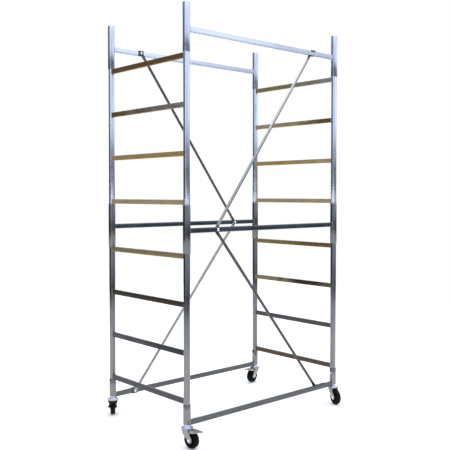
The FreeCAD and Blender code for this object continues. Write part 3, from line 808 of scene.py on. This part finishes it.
class SCAFFOLD_OT_rail_fittings(bpy.types.Operator):
    """Makes the lock bolts of the base sleeves and the lugs on the base rails"""
    bl_idname = "scaffold.rail_fittings"
    bl_label = "Rail fittings"

    def execute(self, context):
        low, high = box_of("base_sleeve_lock_bolts")
        height = (low.z + high.z) / 2
        bolts = []
        for castor in CASTORS:
            corner = corner_axis(castor)
            inward = Vector((-math.copysign(1, corner.x), 0, 0))
            head = hexagon(12.8 * MM, 5.5 * MM, 0.7 * MM)
            collar = lathe(in_mm((0, 0), (7.6, 0), (7.6, 1.2), (0, 1.2)), 32, False)
            place(head, shift(0, 0, 0.9 * MM))
            bolt = join([head, collar], "lock_bolt")
            seat = Vector((corner.x, corner.y, height)) + inward * LOCK_BOLT_SEAT
            bolts.append(place(bolt, along(seat, inward)))
        whole = join(bolts, "sleeve_lock_screws")
        smooth(whole)
        finish_with(whole, "Bright plating", TOWER, ["base_sleeve_lock_bolts"])
        self.lugs()
        return {"FINISHED"}

    def lugs(self):
        """A low curved plate on the top of a base rail, beside each sleeve that no brace reaches."""
        low, high = box_of("base_rail_lugs")
        outline = [(corner_axis("front_left").x + x * MM, up * (high.z - low.z)) for x, up in LUG_SIDE]
        front = shift(0, low.y + LUG_THICK, low.z) @ turned(90, "X")
        plates = []
        for half_turn in (0, 180):
            plate = prism(outline, LUG_THICK, 0.6 * MM)
            smooth(plate)
            plates.append(place(plate, turned(half_turn, "Z") @ front))
        lugs = join(plates, "base_rail_plates")
        finish_with(lugs, "Bright plating", TOWER, ["base_rail_lugs"])


# ---- braces -------------------------------------------------------------------------------------
# Braces that rise to the right. The other two rise to the left, and are coloured darker as painted shade.
RIGHT_LEANING = ("upper_front_brace", "lower_rear_brace")


def brace_ends(node):
    """Hole centres of a brace in X and Z, lower one first, from its box and the way that it leans."""
    low, high = box_of(node)
    inset = bpy.context.scene.scaffold_braces.tab_width / 2
    left, right = low.x + inset, high.x - inset
    foot, head = low.z + inset, high.z - inset
    if node in RIGHT_LEANING:
        return (left, foot), (right, head)
    return (right, foot), (left, head)


class SCAFFOLD_OT_braces(bpy.types.Operator):
    """Makes the diagonal braces, round in the middle and flattened at both ends"""
    bl_idname = "scaffold.braces"
    bl_label = "Braces"

    def execute(self, context):
        sizes = context.scene.scaffold_braces
        for end in ENDS:
            face = self.rail_face(end)
            claw_layer = sizes.claw_thick + 2 * sizes.gap + sizes.tab_thick / 2
            first = WASHER_THICK + sizes.gap + sizes.tab_thick / 2
            second = first + sizes.tab_thick + sizes.gap
            layers = (("upper", first, claw_layer), ("lower", claw_layer, second))
            for level, foot_layer, head_layer in layers:
                node = f"{level}_{end}_brace"
                foot, head = brace_ends(node)
                start = Vector((foot[0], face + inward_of(end) * foot_layer, foot[1]))
                stop = Vector((head[0], face + inward_of(end) * head_layer, head[1]))
                piece = self.brace(sizes, start, stop)
                name_piece(piece, f"{level}_{end}_diagonal")
                # The braces that rise to the left wear a darker copy of the plating: painted shade.
                finish = "Brace plating" if node in RIGHT_LEANING else "Dull brace plating"
                finish_with(piece, finish, TOWER, [node])
        return {"FINISHED"}

    def rail_face(self, end):
        low, high = box_of(f"mid_{end}_rail")
        return high.y if end == "front" else low.y

    def brace(self, sizes, start, stop):
        """The round part first, then each end drawn out, flattened and rounded off."""
        span = (stop - start).length
        swell_end = sizes.tab_length + sizes.swell
        half = span / 2 - swell_end
        start_fresh()
        bpy.ops.mesh.primitive_cylinder_add(vertices=24, radius=sizes.radius, depth=2 * half,
                                            end_fill_type="NOTHING")
        piece = bpy.context.object
        for side in (-1, 1):
            self.draw_end(piece, sizes, side, half)
        face_outwards(piece)
        bevel(piece, 0.5 * MM, 2, 50)
        smooth(piece, 40)
        run = stop - start
        lean = math.atan2(run.x, run.z)
        turn = Matrix.Rotation(lean, 4, "Y")
        tilt = Matrix.Rotation(-math.atan2(run.y, math.hypot(run.x, run.z)), 4, "X")
        return place(piece, Matrix.Translation((start + stop) / 2) @ turn @ tilt)

    def end_steps(self, sizes):
        """Distance, half width and half thickness of a brace's end, from its round part to its tip."""
        wide, thick = sizes.tab_width / 2, sizes.tab_thick / 2
        steps = []
        for share in (0.15, 0.3, 0.45, 0.6, 0.75, 0.9, 1.0):
            eased = share * share * (3 - 2 * share)
            steps.append((share * sizes.swell, sizes.radius + (wide - sizes.radius) * eased,
                          sizes.radius + (thick - sizes.radius) * eased))
        flat = sizes.swell + sizes.tab_length
        steps.append((flat, wide, thick))
        for degrees in (25, 45, 62, 76, 86):
            a = math.radians(degrees)
            steps.append((flat + wide * math.sin(a), wide * math.cos(a), thick))
        return steps

    def draw_end(self, piece, sizes, side, half):
        """Draw out one open ring in steps, each with its width and thickness, and close it."""
        edit(piece)
        bpy.ops.mesh.select_all(action="DESELECT")
        leave_edit()
        for vertex in piece.data.vertices:
            vertex.select = abs(vertex.co.z - side * half) < 1e-5
        bpy.ops.object.mode_set(mode="EDIT")
        wide, thick, reach = sizes.radius, sizes.radius, 0.0
        for there, new_wide, new_thick in self.end_steps(sizes):
            bpy.ops.mesh.extrude_region_move(
                TRANSFORM_OT_translate={"value": (0, 0, side * (there - reach))})
            bpy.ops.transform.resize(value=(new_wide / wide, new_thick / thick, 1))
            wide, thick, reach = new_wide, new_thick, there
        bpy.ops.mesh.edge_face_add()
        leave_edit()


class SCAFFOLD_OT_brace_fittings(bpy.types.Operator):
    """Makes the claws and rivets at the outer ends of the braces, and the bolts where two braces meet"""
    bl_idname = "scaffold.brace_fittings"
    bl_label = "Brace fittings"

    def execute(self, context):
        sizes = context.scene.scaffold_braces
        for end in ENDS:
            for level, rail in (("upper", "top"), ("lower", "base")):
                self.claw(sizes, f"{level}_{end}_brace", f"{rail}_{end}_rail", end)
        self.mid_bolts(sizes)
        return {"FINISHED"}

    def claw(self, sizes, stem, rail, end):
        """A strip bent over a rail, its rivet, and on a base rail its tongue."""
        rail_low, rail_high = box_of(rail)
        deep, tall = rail_high.y - rail_low.y, rail_high.z - rail_low.z
        inner, top = deep / 2 + sizes.gap, tall / 2 + sizes.gap
        foot, head = brace_ends(stem)
        x = head[0] if stem.startswith("upper") else foot[0]
        parts = [self.strip(sizes, inner, top)]
        low, high = box_of(stem + "_claw")
        if high.x - low.x > sizes.claw_width * 1.2:
            sign = 1 if high.x - x > x - low.x else -1
            parts.append(self.tongue(sizes, high.x - low.x, sign, inner, top))
        claw = join(parts, stem.replace("brace", "hook"))
        if end == "rear":
            claw.data.transform(Matrix.Scale(-1, 4, (0, 1, 0)))
            face_outwards(claw)
        middle = Vector((x, (rail_low.y + rail_high.y) / 2, (rail_low.z + rail_high.z) / 2))
        place(claw, Matrix.Translation(middle))
        finish_with(claw, "Claw steel", TOWER, [stem + "_claw"])
        self.rivet(sizes, stem, end, middle, inner)

    def strip(self, sizes, inner, top):
        """The bent strip: a lip down the far face, the top, the near face and a jaw under the rail."""
        thick, lip, jaw = sizes.claw_thick, top - sizes.claw_lip, inner - sizes.claw_jaw
        outline = [(-inner, top), (-inner, lip), (-inner - thick, lip), (-inner - thick, top + thick),
                   (inner + thick, top + thick), (inner + thick, -top - thick), (jaw, -top - thick),
                   (jaw, -top), (inner, -top), (inner, top)]
        strip = prism(outline, sizes.claw_width, 1.1 * MM, 3)
        strip.data.transform(shift(0, 0, -sizes.claw_width / 2))
        # The outline's axes are Y and Z, and the strip's width lies along X.
        place(strip, Matrix(((0, 0, 1, 0), (1, 0, 0, 0), (0, 1, 0, 0), (0, 0, 0, 1))))
        smooth(strip)
        return strip

    def rivet(self, sizes, stem, end, middle, inner):
        seat = inner + sizes.claw_thick + 2 * sizes.gap + sizes.tab_thick
        rivet = lathe(in_mm(*RIVET), 32, False)
        smooth(rivet, 50)
        inward = Vector((0, inward_of(end), 0))
        place(rivet, along(middle + inward * seat, inward))
        name_piece(rivet, stem + "_rivet")
        finish_with(rivet, "Bright plating", TOWER, [])

    def tongue(self, sizes, reach, sign, inner, top):
        """A flat tongue that runs on along the top of the rail, with a rounded tip."""
        far = reach - sizes.claw_width / 2
        near = sizes.claw_width / 2 - 4 * MM
        half = sizes.tongue_width / 2
        corners = [(near, -half), (far - half, -half)]
        for step in range(1, 8):
            a = math.radians(-90 + 180 * step / 8)
            corners.append((far - half + half * math.cos(a), half * math.sin(a)))
        corners += [(far - half, half), (near, half)]
        plate = prism([(sign * x, y) for x, y in corners], sizes.claw_thick, 0.7 * MM)
        smooth(plate)
        return place(plate, shift(0, inner - half, top))

    def mid_bolts(self, sizes):
        """A domed bolt, its washer and its nut through each middle rail."""
        pieces = []
        for end in ENDS:
            foot, _ = brace_ends(f"upper_{end}_brace")
            rail_low, rail_high = box_of(f"mid_{end}_rail")
            deep = rail_high.y - rail_low.y
            centre = Vector((foot[0], (rail_low.y + rail_high.y) / 2, foot[1]))
            inward = Vector((0, inward_of(end), 0))
            thread_end = [(4.95 * MM, deep + 21 * MM), (4.1 * MM, deep + 22 * MM), (0, deep + 22 * MM)]
            bolt = lathe(in_mm(*DOMED_HEAD) + thread_end, 32, False)
            washer = lathe(in_mm((5.1, 0), (12, 0), (12, 2.9), (5.1, 2.9)), 32)
            place(washer, shift(0, 0, deep))
            nut = hexagon(17 * MM, 8 * MM, 0.9 * MM)
            seat = deep + WASHER_THICK + 2 * sizes.tab_thick + 3 * sizes.gap
            place(nut, shift(0, 0, seat))
            whole = join([bolt, washer, nut], "bolt")
            smooth(whole)
            pieces.append(place(whole, along(centre - inward * deep / 2, inward)))
        bolts = join(pieces, "mid_brace_screws")
        finish_with(bolts, "Bright plating", TOWER, ["mid_brace_bolts"])


# ---- castors ------------------------------------------------------------------------------------
class SCAFFOLD_OT_castors(bpy.types.Operator):
    """Makes the castors: stems, forks, wheels, axles and brake pedals"""
    bl_idname = "scaffold.castors"
    bl_label = "Castors"
    # Where the open sides of a fork start, as a share of its ring's radius.
    CHEEK_EDGE = 0.62

    def execute(self, context):
        for castor in CASTORS:
            self.castor(context.scene.scaffold_castors, castor)
        return {"FINISHED"}

    def castor(self, sizes, castor):
        """The pieces of one castor, made about its swivel axis or its axle and put in place."""
        swivel = JOINTS[castor + "_castor_swivel"]["pos_m"]
        axle = JOINTS[castor + "_wheel_spin"]["pos_m"]
        ahead, aside = axle[0] - swivel[0], axle[1] - swivel[1]
        trail = math.hypot(ahead, aside)
        spot = shift(swivel[0], swivel[1], 0) @ Matrix.Rotation(math.atan2(aside, ahead), 4, "Z")
        hub_spot = spot @ shift(trail, 0, axle[2]) @ turned(-90, "X")
        fork, wheel = castor + "_swivel", castor + "_wheel"
        # The rear-left fork's cheeks and its axle bolt get painted shade, nearly black below the crown.
        dark = castor == "rear_left"
        fork_finish = "Dark fork plating" if dark else "Fork plating"
        axle_finish = "Dark fork plating" if dark else "Bright plating"
        rows = [(self.stem(sizes), "stem", "king_pin", spot, "Swivel plating", TOWER, "stem_zinc"),
                (self.fork(sizes, trail), "fork", "yoke", spot, fork_finish, fork, "castor_zinc"),
                (self.axle(sizes), "axle", "axle_bolt", hub_spot, axle_finish, fork, "bolt_zinc"),
                (self.tyre(sizes), "tyre", "tread", hub_spot, "Tyre rubber", wheel, "tyre_rubber"),
                (self.hub(sizes), "hub", "wheel_centre", hub_spot, "Moulded centre", wheel, "hub_plastic")]
        if castor in BRAKED:
            rows.append((self.pedal(sizes), "brake_pedal", "brake_tread", spot, "Fork plating",
                         castor + "_brake", "castor_zinc"))
        for piece, node, name, where, material, body, slot in rows:
            place(piece, where)
            name_piece(piece, f"{castor}_{name}")
            finish_with(piece, material, body, [f"{castor}_castor_{node}"])

    def tyre(self, sizes):
        """A crowned tread with rounded shoulders and a groove round each side wall."""
        r, w, inner = sizes.wheel, sizes.tyre_half, sizes.wheel - sizes.tyre_thick
        side_wall = in_mm((0, 2.2), (3, 0.6), (5.0, 1.5), (6.5, 0.3))
        shoulder = in_mm((6.2, 0), (4.2, 0.8), (2.4, 3.4))
        section = [(inner + out, -w + in_from_side) for out, in_from_side in side_wall]
        section += [(r - down, -w + in_from_side) for down, in_from_side in shoulder]
        section += [(r - 1.0 * MM, -w * 0.45), (r - 0.25 * MM, -w * 0.2)]
        piece = lathe(section + [(r, 0.0)] + mirrored(section), 72)
        smooth(piece, 50)
        return piece

    def hub(self, sizes):
        """A dished centre with a rim, a boss and ribs on both faces."""
        rim, w = sizes.wheel - sizes.tyre_thick - 0.05 * MM, sizes.tyre_half - 2.2 * MM
        upper = in_mm(*HUB_FACE) + [(rim - 3.2 * MM, w - 0.8 * MM), (rim - 2.4 * MM, w), (rim, w)]
        parts = [lathe(upper + mirrored(upper), 64)]
        for index in range(6):
            start_fresh()
            bpy.ops.mesh.primitive_cube_add(size=1, location=(23.5 * MM, 0, 0))
            rib = bpy.context.object
            rib.scale = (19 * MM, 3 * MM, 19 * MM)
            settle(rib)
            bevel(rib, 0.8 * MM, 2)
            parts.append(place(rib, turned(60 * index + 15, "Z")))
        piece = join(parts, "hub")
        smooth(piece, 40)
        return piece

    def axle(self, sizes):
        """A hexagonal head with its washer on one side, and a nut and the thread's end on the other."""
        out = sizes.fork_half + sizes.sheet
        shank = lathe([(0, -out), (5 * MM, -out), (5 * MM, out + 8 * MM), (4.2 * MM, out + 9 * MM),
                       (0, out + 9 * MM)], 32, False)
        head = hexagon(16 * MM, 5.0 * MM, 0.9 * MM)
        place(head, shift(0, 0, -out - 5.9 * MM))
        nut = hexagon(16 * MM, 6.2 * MM, 0.9 * MM)
        place(nut, shift(0, 0, out + 0.8 * MM))
        washers = []
        for foot in (-out - 1.0 * MM, out):
            ring = [(radius, foot + up) for radius, up in in_mm((4.8, 0), (9.2, 0), (9.2, 1.0), (4.8, 1.0))]
            washers.append(lathe(ring, 32))
        piece = join([shank, head, nut] + washers, "axle")
        smooth(piece, 35)
        return piece

    def stem(self, sizes):
        """Ball race, hexagonal collar, pin and the plug in the base sleeve."""
        top = sizes.crown_z + sizes.sheet + 3.4 * MM
        race = lathe([(radius, top + up) for radius, up in in_mm(*BALL_RACE)], 48)
        smooth(race, 50)
        collar_foot = top + 5.0 * MM
        collar = hexagon(30 * MM, sizes.collar_top - collar_foot - 0.2 * MM, 1.2 * MM)
        place(collar, shift(0, 0, collar_foot))
        under, seat, head = sizes.crown_z - 3 * MM, sizes.collar_top, sizes.collar_top + sizes.plug
        button = in_mm((0, 0), (8.4, 0), (9.9, 0.8), (9.9, 2.4), (5.9, 2.6))
        pin = lathe([(radius, under + up) for radius, up in button]
                    + [(5.9 * MM, seat), (19.3 * MM, seat), (19.3 * MM, head), (0, head)], 48, False)
        piece = join([race, collar, pin], "stem")
        smooth(piece, 40)
        return piece

    def fork(self, sizes, trail):
        """One pressed sheet: a dished round crown, a short skirt, and two cheeks drawn in to the axle."""
        crown, cheeks = self.crown_rings(sizes), self.cheek_rings(sizes, trail)
        wrapped = sum(1 for ring in cheeks if ring[0] > sizes.crown_z - sizes.apron)
        sheet = self.ring_stack(crown + cheeks, len(crown), len(crown) + wrapped)
        face_outwards(sheet)
        self.turn_out(sheet)
        modify(sheet, "SOLIDIFY", thickness=sizes.sheet, offset=-1, use_even_offset=True)
        bevel(sheet, 0.5 * MM, 2, 50)
        smooth(sheet, 50)
        return sheet

    def crown_rings(self, sizes):
        """Height, middle, half length, half width and squareness of the rings of the dished crown."""
        top, r = sizes.crown_z + sizes.sheet, sizes.crown
        rings = [(top + up, 0.0, radius, radius, 0.0) for radius, up in in_mm(*CROWN_DISH)]
        for inset, down in ((1.0, 0.5), (0.25, 1.5), (0.0, 2.8)):
            rings.append((top - down * MM, 0.0, r - inset * MM, r - inset * MM, 0.0))
        return rings

    def cheek_rings(self, sizes, trail):
        """The same for the rings from the foot of the skirt down to the foot of the cheeks."""
        narrow = sizes.fork_half + sizes.sheet
        r, axle_z = sizes.crown, sizes.wheel
        high, low = sizes.crown_z - sizes.skirt, axle_z + 11 * MM
        rings = []
        for step in range(9):
            share = step / 8
            eased = share * share * (3 - 2 * share)
            slant = share ** 1.35
            rings.append((high + (low - high) * share, trail * (0.04 + 0.74 * slant),
                          r * (1.0 - 0.32 * slant), r - 0.7 * MM + (narrow - r + 0.7 * MM) * share ** 1.25,
                          eased))
        rings.append((axle_z + 5 * MM, trail * 0.92, sizes.foot * 1.10, narrow, 1.0))
        for degrees in range(0, 85, 12):
            a = math.radians(degrees)
            rings.append((axle_z - sizes.foot * math.sin(a), trail, sizes.foot * math.cos(a), narrow, 1.0))
        return rings

    def ring_stack(self, rings, whole, wrapped, columns=56):
        """A tube that changes from round to two flat cheeks, open in front of and behind the wheel.

        The first rings are whole, and the leading side stays closed for the wrapped ones."""
        start_fresh()
        pitch = 0.01
        bpy.ops.mesh.primitive_circle_add(vertices=columns, radius=pitch, fill_type="NOTHING")
        piece = bpy.context.object
        edit(piece)
        for _ in rings[1:]:
            bpy.ops.mesh.extrude_region_move(TRANSFORM_OT_translate={"value": (0, 0, -pitch)})
        leave_edit()
        self.open_ends(piece, -pitch * whole, -pitch * wrapped, pitch * self.CHEEK_EDGE)
        widest = math.cos(math.asin(self.CHEEK_EDGE))
        for vertex in piece.data.vertices:
            height, middle, half_length, half_width, square = rings[round(-vertex.co.z / pitch)]
            a = math.atan2(vertex.co.y, vertex.co.x)
            reach = max(-1.0, min(1.0, math.cos(a) * (1 + square * (1 / widest - 1))))
            out = math.copysign(abs(math.sin(a)) ** (1 - 0.93 * square), math.sin(a))
            vertex.co = (middle + half_length * reach, half_width * out, height)
        return piece

    def open_ends(self, piece, trailing, leading, edge):
        """Take away the two ends of the tube, nearer than edge to its middle, below their heights."""
        edit(piece)
        bpy.ops.mesh.select_all(action="DESELECT")
        bpy.ops.mesh.select_mode(type="FACE")
        leave_edit()
        for face in piece.data.polygons:
            below = trailing if face.center.x > 0 else leading
            face.select = face.center.z < below and abs(face.center.y) < edge
        bpy.ops.object.mode_set(mode="EDIT")
        bpy.ops.mesh.delete(type="FACE")
        bpy.ops.mesh.select_mode(type="VERT")
        leave_edit()

    def turn_out(self, piece):
        """See that an open sheet's normals point away from its middle."""
        middle = sum((vertex.co for vertex in piece.data.vertices), Vector()) / len(piece.data.vertices)
        outward = sum(face.area * face.normal.dot(face.center - middle) for face in piece.data.polygons)
        if outward < 0:
            edit(piece)
            bpy.ops.mesh.flip_normals()
            leave_edit()

    def pedal(self, sizes):
        """A broad tread, its two arms inside the bell and its pivot pin."""
        inner, sheet = sizes.tyre_half + 0.7 * MM, sizes.pedal_sheet
        pin_x, pin_z = -6 * MM, sizes.crown_z - 20 * MM
        under, start = 2 * sizes.wheel + 6 * MM, sizes.crown + 2 * MM
        neck = sizes.pedal_reach - sizes.pedal_tip
        bottom, top = under + 0.3 * MM, under + sheet - 0.2 * MM
        round_pin = [(pin_x + across, pin_z + up) for across, up in in_mm((-6, -4), (-4, -6), (6, -6))]
        above_pin = [(pin_x + across, pin_z + up) for across, up in in_mm((-4, 5), (-6, 3))]
        blade = [(start, under - sizes.pedal_flange), (neck, bottom), (neck, top), (start, top),
                 (start, under - 7 * MM)]
        upright = turned(90, "X")
        parts = []
        for side in (inner + sheet, -inner):
            arm = prism(round_pin + blade + above_pin, sheet, 0.5 * MM)
            parts.append(place(arm, shift(0, side, 0) @ upright))
        plate = prism(self.tread_outline(sizes, start), sheet, 0.8 * MM, 3)
        parts.append(place(plate, shift(0, 0, under)))
        end = sizes.crown - 4 * MM
        pin = lathe([(0, -end), (2.4 * MM, -end), (3.0 * MM, 0.6 * MM - end), (3.0 * MM, end - 0.6 * MM),
                     (2.4 * MM, end), (0, end)], 24, False)
        parts.append(place(pin, shift(pin_x, 0, pin_z) @ upright))
        piece = join(parts, "pedal")
        smooth(piece, 35)
        return piece

    def tread_outline(self, sizes, start):
        """Corners of the tread from above: wide by the bell, drawn in to a tip with rounded corners."""
        half, narrow, tip, corner = sizes.pedal_half, sizes.pedal_tip, sizes.pedal_reach, 8.0 * MM
        outline = [(start, -half), (tip - 2 * narrow, -1.5 * narrow)]
        for sign, first in ((-1, -60), (1, 0)):
            for step in range(5):
                a = math.radians(first + 15 * step)
                outline.append((tip - corner + corner * math.cos(a),
                                sign * (narrow - corner) + corner * math.sin(a)))
        return outline + [(tip - 2 * narrow, 1.5 * narrow), (start, half)]


# ---- stage --------------------------------------------------------------------------------------
FLOOR_GLOW = (0.26, 0.25, 0.25)
# Where each band of the sky starts and is whole, as the sine of its height, and its colour.
SKY_BANDS = ((-0.30, -0.06, (0.13, 0.14, 0.155)), (-0.05, 0.11, (0.86, 0.95, 1.12)),
             (0.35, 0.75, (1.50, 1.55, 1.62)))


class SCAFFOLD_OT_stage(bpy.types.Operator):
    """Makes the pale floor, the soft lights and the camera"""
    bl_idname = "scaffold.stage"
    bl_label = "Stage"

    def execute(self, context):
        view = context.scene.scaffold_stage
        self.camera(view)
        start_fresh()
        bpy.ops.mesh.primitive_plane_add(size=11, location=(0, 0, -0.0005))
        floor = name_piece(bpy.context.object, "floor")
        settle(floor)
        material, _, shader, _ = new_material("Pale floor")
        shader.inputs["Base Color"].default_value = (0.95, 0.95, 0.95, 1)
        shader.inputs["Roughness"].default_value = 0.95
        floor.data.materials.append(material)
        self.lamp("key", (-4.9, -1.3, 2.2), (0, 0, 1.6), (0.5, 4.0), 9, (1.0, 0.99, 0.98))
        self.lamp("fill", (3.4, -5.2, 3.6), (0, 0, 1.6), (2.2, 2.2), 10, (0.93, 0.96, 1.0))
        self.lamp("top", (0.0, 0.6, 6.5), (0, 0, 1.0), (4.0, 4.0), 150, (0.97, 0.98, 1.0))
        self.sky(context)
        context.scene.view_settings.view_transform = "Standard"
        return {"FINISHED"}

    def camera(self, view):
        data = bpy.data.cameras.new("camera")
        data.sensor_width = 36
        data.lens = view.lens
        data.shift_y = view.rise
        data.clip_end = 200
        camera = bpy.data.objects.new("camera", data)
        bpy.context.scene.collection.objects.link(camera)
        camera.location = view.eye
        camera.rotation_euler = (math.radians(90) + view.tilt, 0, -view.heading)
        bpy.context.scene.camera = camera

    def lamp(self, name, where, target, size, power, tint):
        data = bpy.data.lights.new(name, "AREA")
        data.shape = "RECTANGLE"
        data.size, data.size_y = size
        data.energy = power
        data.color = tint
        lamp = bpy.data.objects.new(name, data)
        bpy.context.scene.collection.objects.link(lamp)
        lamp.location = where
        lamp.rotation_euler = (Vector(target) - Vector(where)).to_track_quat("-Z", "Y").to_euler()

    def sky(self, context):
        """White behind the tower, but a bright ceiling, a slate horizon and a dark side to the steel."""
        world = bpy.data.worlds.new("studio")
        context.scene.world = world
        world.use_nodes = True
        tree = world.node_tree
        back = tree.nodes["Background"]
        direction = tree.nodes.new("ShaderNodeTexCoord").outputs["Generated"]
        split = split_xyz(tree, direction)
        room = FLOOR_GLOW
        for start, end, tint in SKY_BANDS:
            room = mix_colour(tree, remap(tree, split["Z"], start, end), room, tint)
        dark_side = plus(tree, times(tree, split["X"], -0.73), times(tree, split["Y"], 0.68))
        shade = remap(tree, dark_side, 0.40, 0.85, 0.0, 0.85)
        room = mix_colour(tree, shade, room, (0.04, 0.045, 0.05))
        path = tree.nodes.new("ShaderNodeLightPath").outputs["Is Camera Ray"]
        seen = mix_colour(tree, path, room, (1.0, 1.0, 1.0))
        tree.links.new(seen, back.inputs["Color"])
        back.inputs["Strength"].default_value = 1.0


class SCAFFOLD_OT_finishes(bpy.types.Operator):
    """Makes the plating, rubber and moulded finishes that the pieces wear"""
    bl_idname = "scaffold.finishes"
    bl_label = "Finishes"

    def execute(self, context):
        colours = context.scene.scaffold_colours
        plating_group()
        height_tint_group()
        # Tubes and rails take a height tint that is partly painted reflection and shade.
        plated("Tube plating", level_tint("low", "middle", "high"), (120, 120, 3), 0.05, 0.19)
        rail_tint = level_tint("rail_low", "rail_middle", "rail_high")
        plated("Rail plating", rail_tint, (3, 120, 120), 0.07, 0.21)
        plated("Rung plating", rung_tint, (120, 3, 120), 0.07, 0.34, 0.30, 0.15)
        plated("Brace plating", colours.brace, (60, 60, 30), 0.08, 0.20)
        plated("Dull brace plating", colours.brace_dull, (60, 60, 30), 0.10, 0.26)
        # Painted shade: nearly black cheeks below the crown of the rear-left fork.
        shaded_cheeks = crown_tint("fork_painted_shade", 0.104, 0.108)
        plated("Dark fork plating", shaded_cheeks, (120, 120, 40), 0.10, 0.45, 0.60, 0.15)
        plated("Weld metal", (0.30, 0.29, 0.28), (300, 300, 300), 0.35, 0.42)
        plated("Claw steel", colours.claw, (120, 120, 120), 0.30, 0.38)
        plated("Bright plating", colours.bright, (200, 200, 200), 0.10, 0.20)
        plated("Swivel plating", colours.head, (160, 160, 60), 0.14, 0.22)
        plated("Fork plating", crown_tint("fork", 0.110, 0.1145), (120, 120, 40), 0.22, 0.32)
        dull_black("Tyre rubber", colours.rubber, dust_noise=(70.0, 5.0, 0.65), dust_from=(0.50, 0.75),
                   dust=(0.25, (0.022, 0.021, 0.020)), rough=(0.55, 0.80), grain=900.0,
                   relief=(0.25, 0.0004))
        dull_black("Moulded centre", colours.hub, dust_noise=(45.0, 4.0, 0.5), dust_from=(0.45, 0.80),
                   dust=(0.3, (0.018, 0.018, 0.018)), rough=(0.38, 0.55), grain=1100.0,
                   relief=(0.2, 0.0003))
        return {"FINISHED"}


class SCAFFOLD_PT_panel(bpy.types.Panel):
    bl_label = "Scaffold"
    bl_space_type = "VIEW_3D"
    bl_region_type = "UI"
    bl_category = "Scaffold"

    def draw(self, context):
        for operator in OPERATORS:
            self.layout.operator(operator.bl_idname)
        for group in ("scaffold_tubes", "scaffold_braces", "scaffold_castors", "scaffold_colours",
                      "scaffold_stage"):
            settings = getattr(context.scene, group)
            for name in settings.__annotations__:
                self.layout.prop(settings, name)


OPERATORS = (SCAFFOLD_OT_finishes, SCAFFOLD_OT_uprights, SCAFFOLD_OT_rungs, SCAFFOLD_OT_rails,
             SCAFFOLD_OT_rail_fittings, SCAFFOLD_OT_braces, SCAFFOLD_OT_brace_fittings,
             SCAFFOLD_OT_castors, SCAFFOLD_OT_stage)
SETTINGS = {"scaffold_tubes": ScaffoldTubes, "scaffold_braces": ScaffoldBraces,
            "scaffold_castors": ScaffoldCastors, "scaffold_colours": ScaffoldColours,
            "scaffold_stage": ScaffoldStage}


def register():
    for group in SETTINGS.values():
        bpy.utils.register_class(group)
    for name, group in SETTINGS.items():
        setattr(bpy.types.Scene, name, PointerProperty(type=group))
    for operator in OPERATORS:
        bpy.utils.register_class(operator)
    bpy.utils.register_class(SCAFFOLD_PT_panel)


def unregister():
    bpy.utils.unregister_class(SCAFFOLD_PT_panel)
    for operator in reversed(OPERATORS):
        bpy.utils.unregister_class(operator)
    for name in SETTINGS:
        delattr(bpy.types.Scene, name)
    for group in reversed(SETTINGS.values()):
        bpy.utils.unregister_class(group)


def main():
    register()
    for operator in OPERATORS:
        area, name = operator.bl_idname.split(".")
        getattr(getattr(bpy.ops, area), name)()
    start_fresh()


if __name__ == "__main__":
    main()
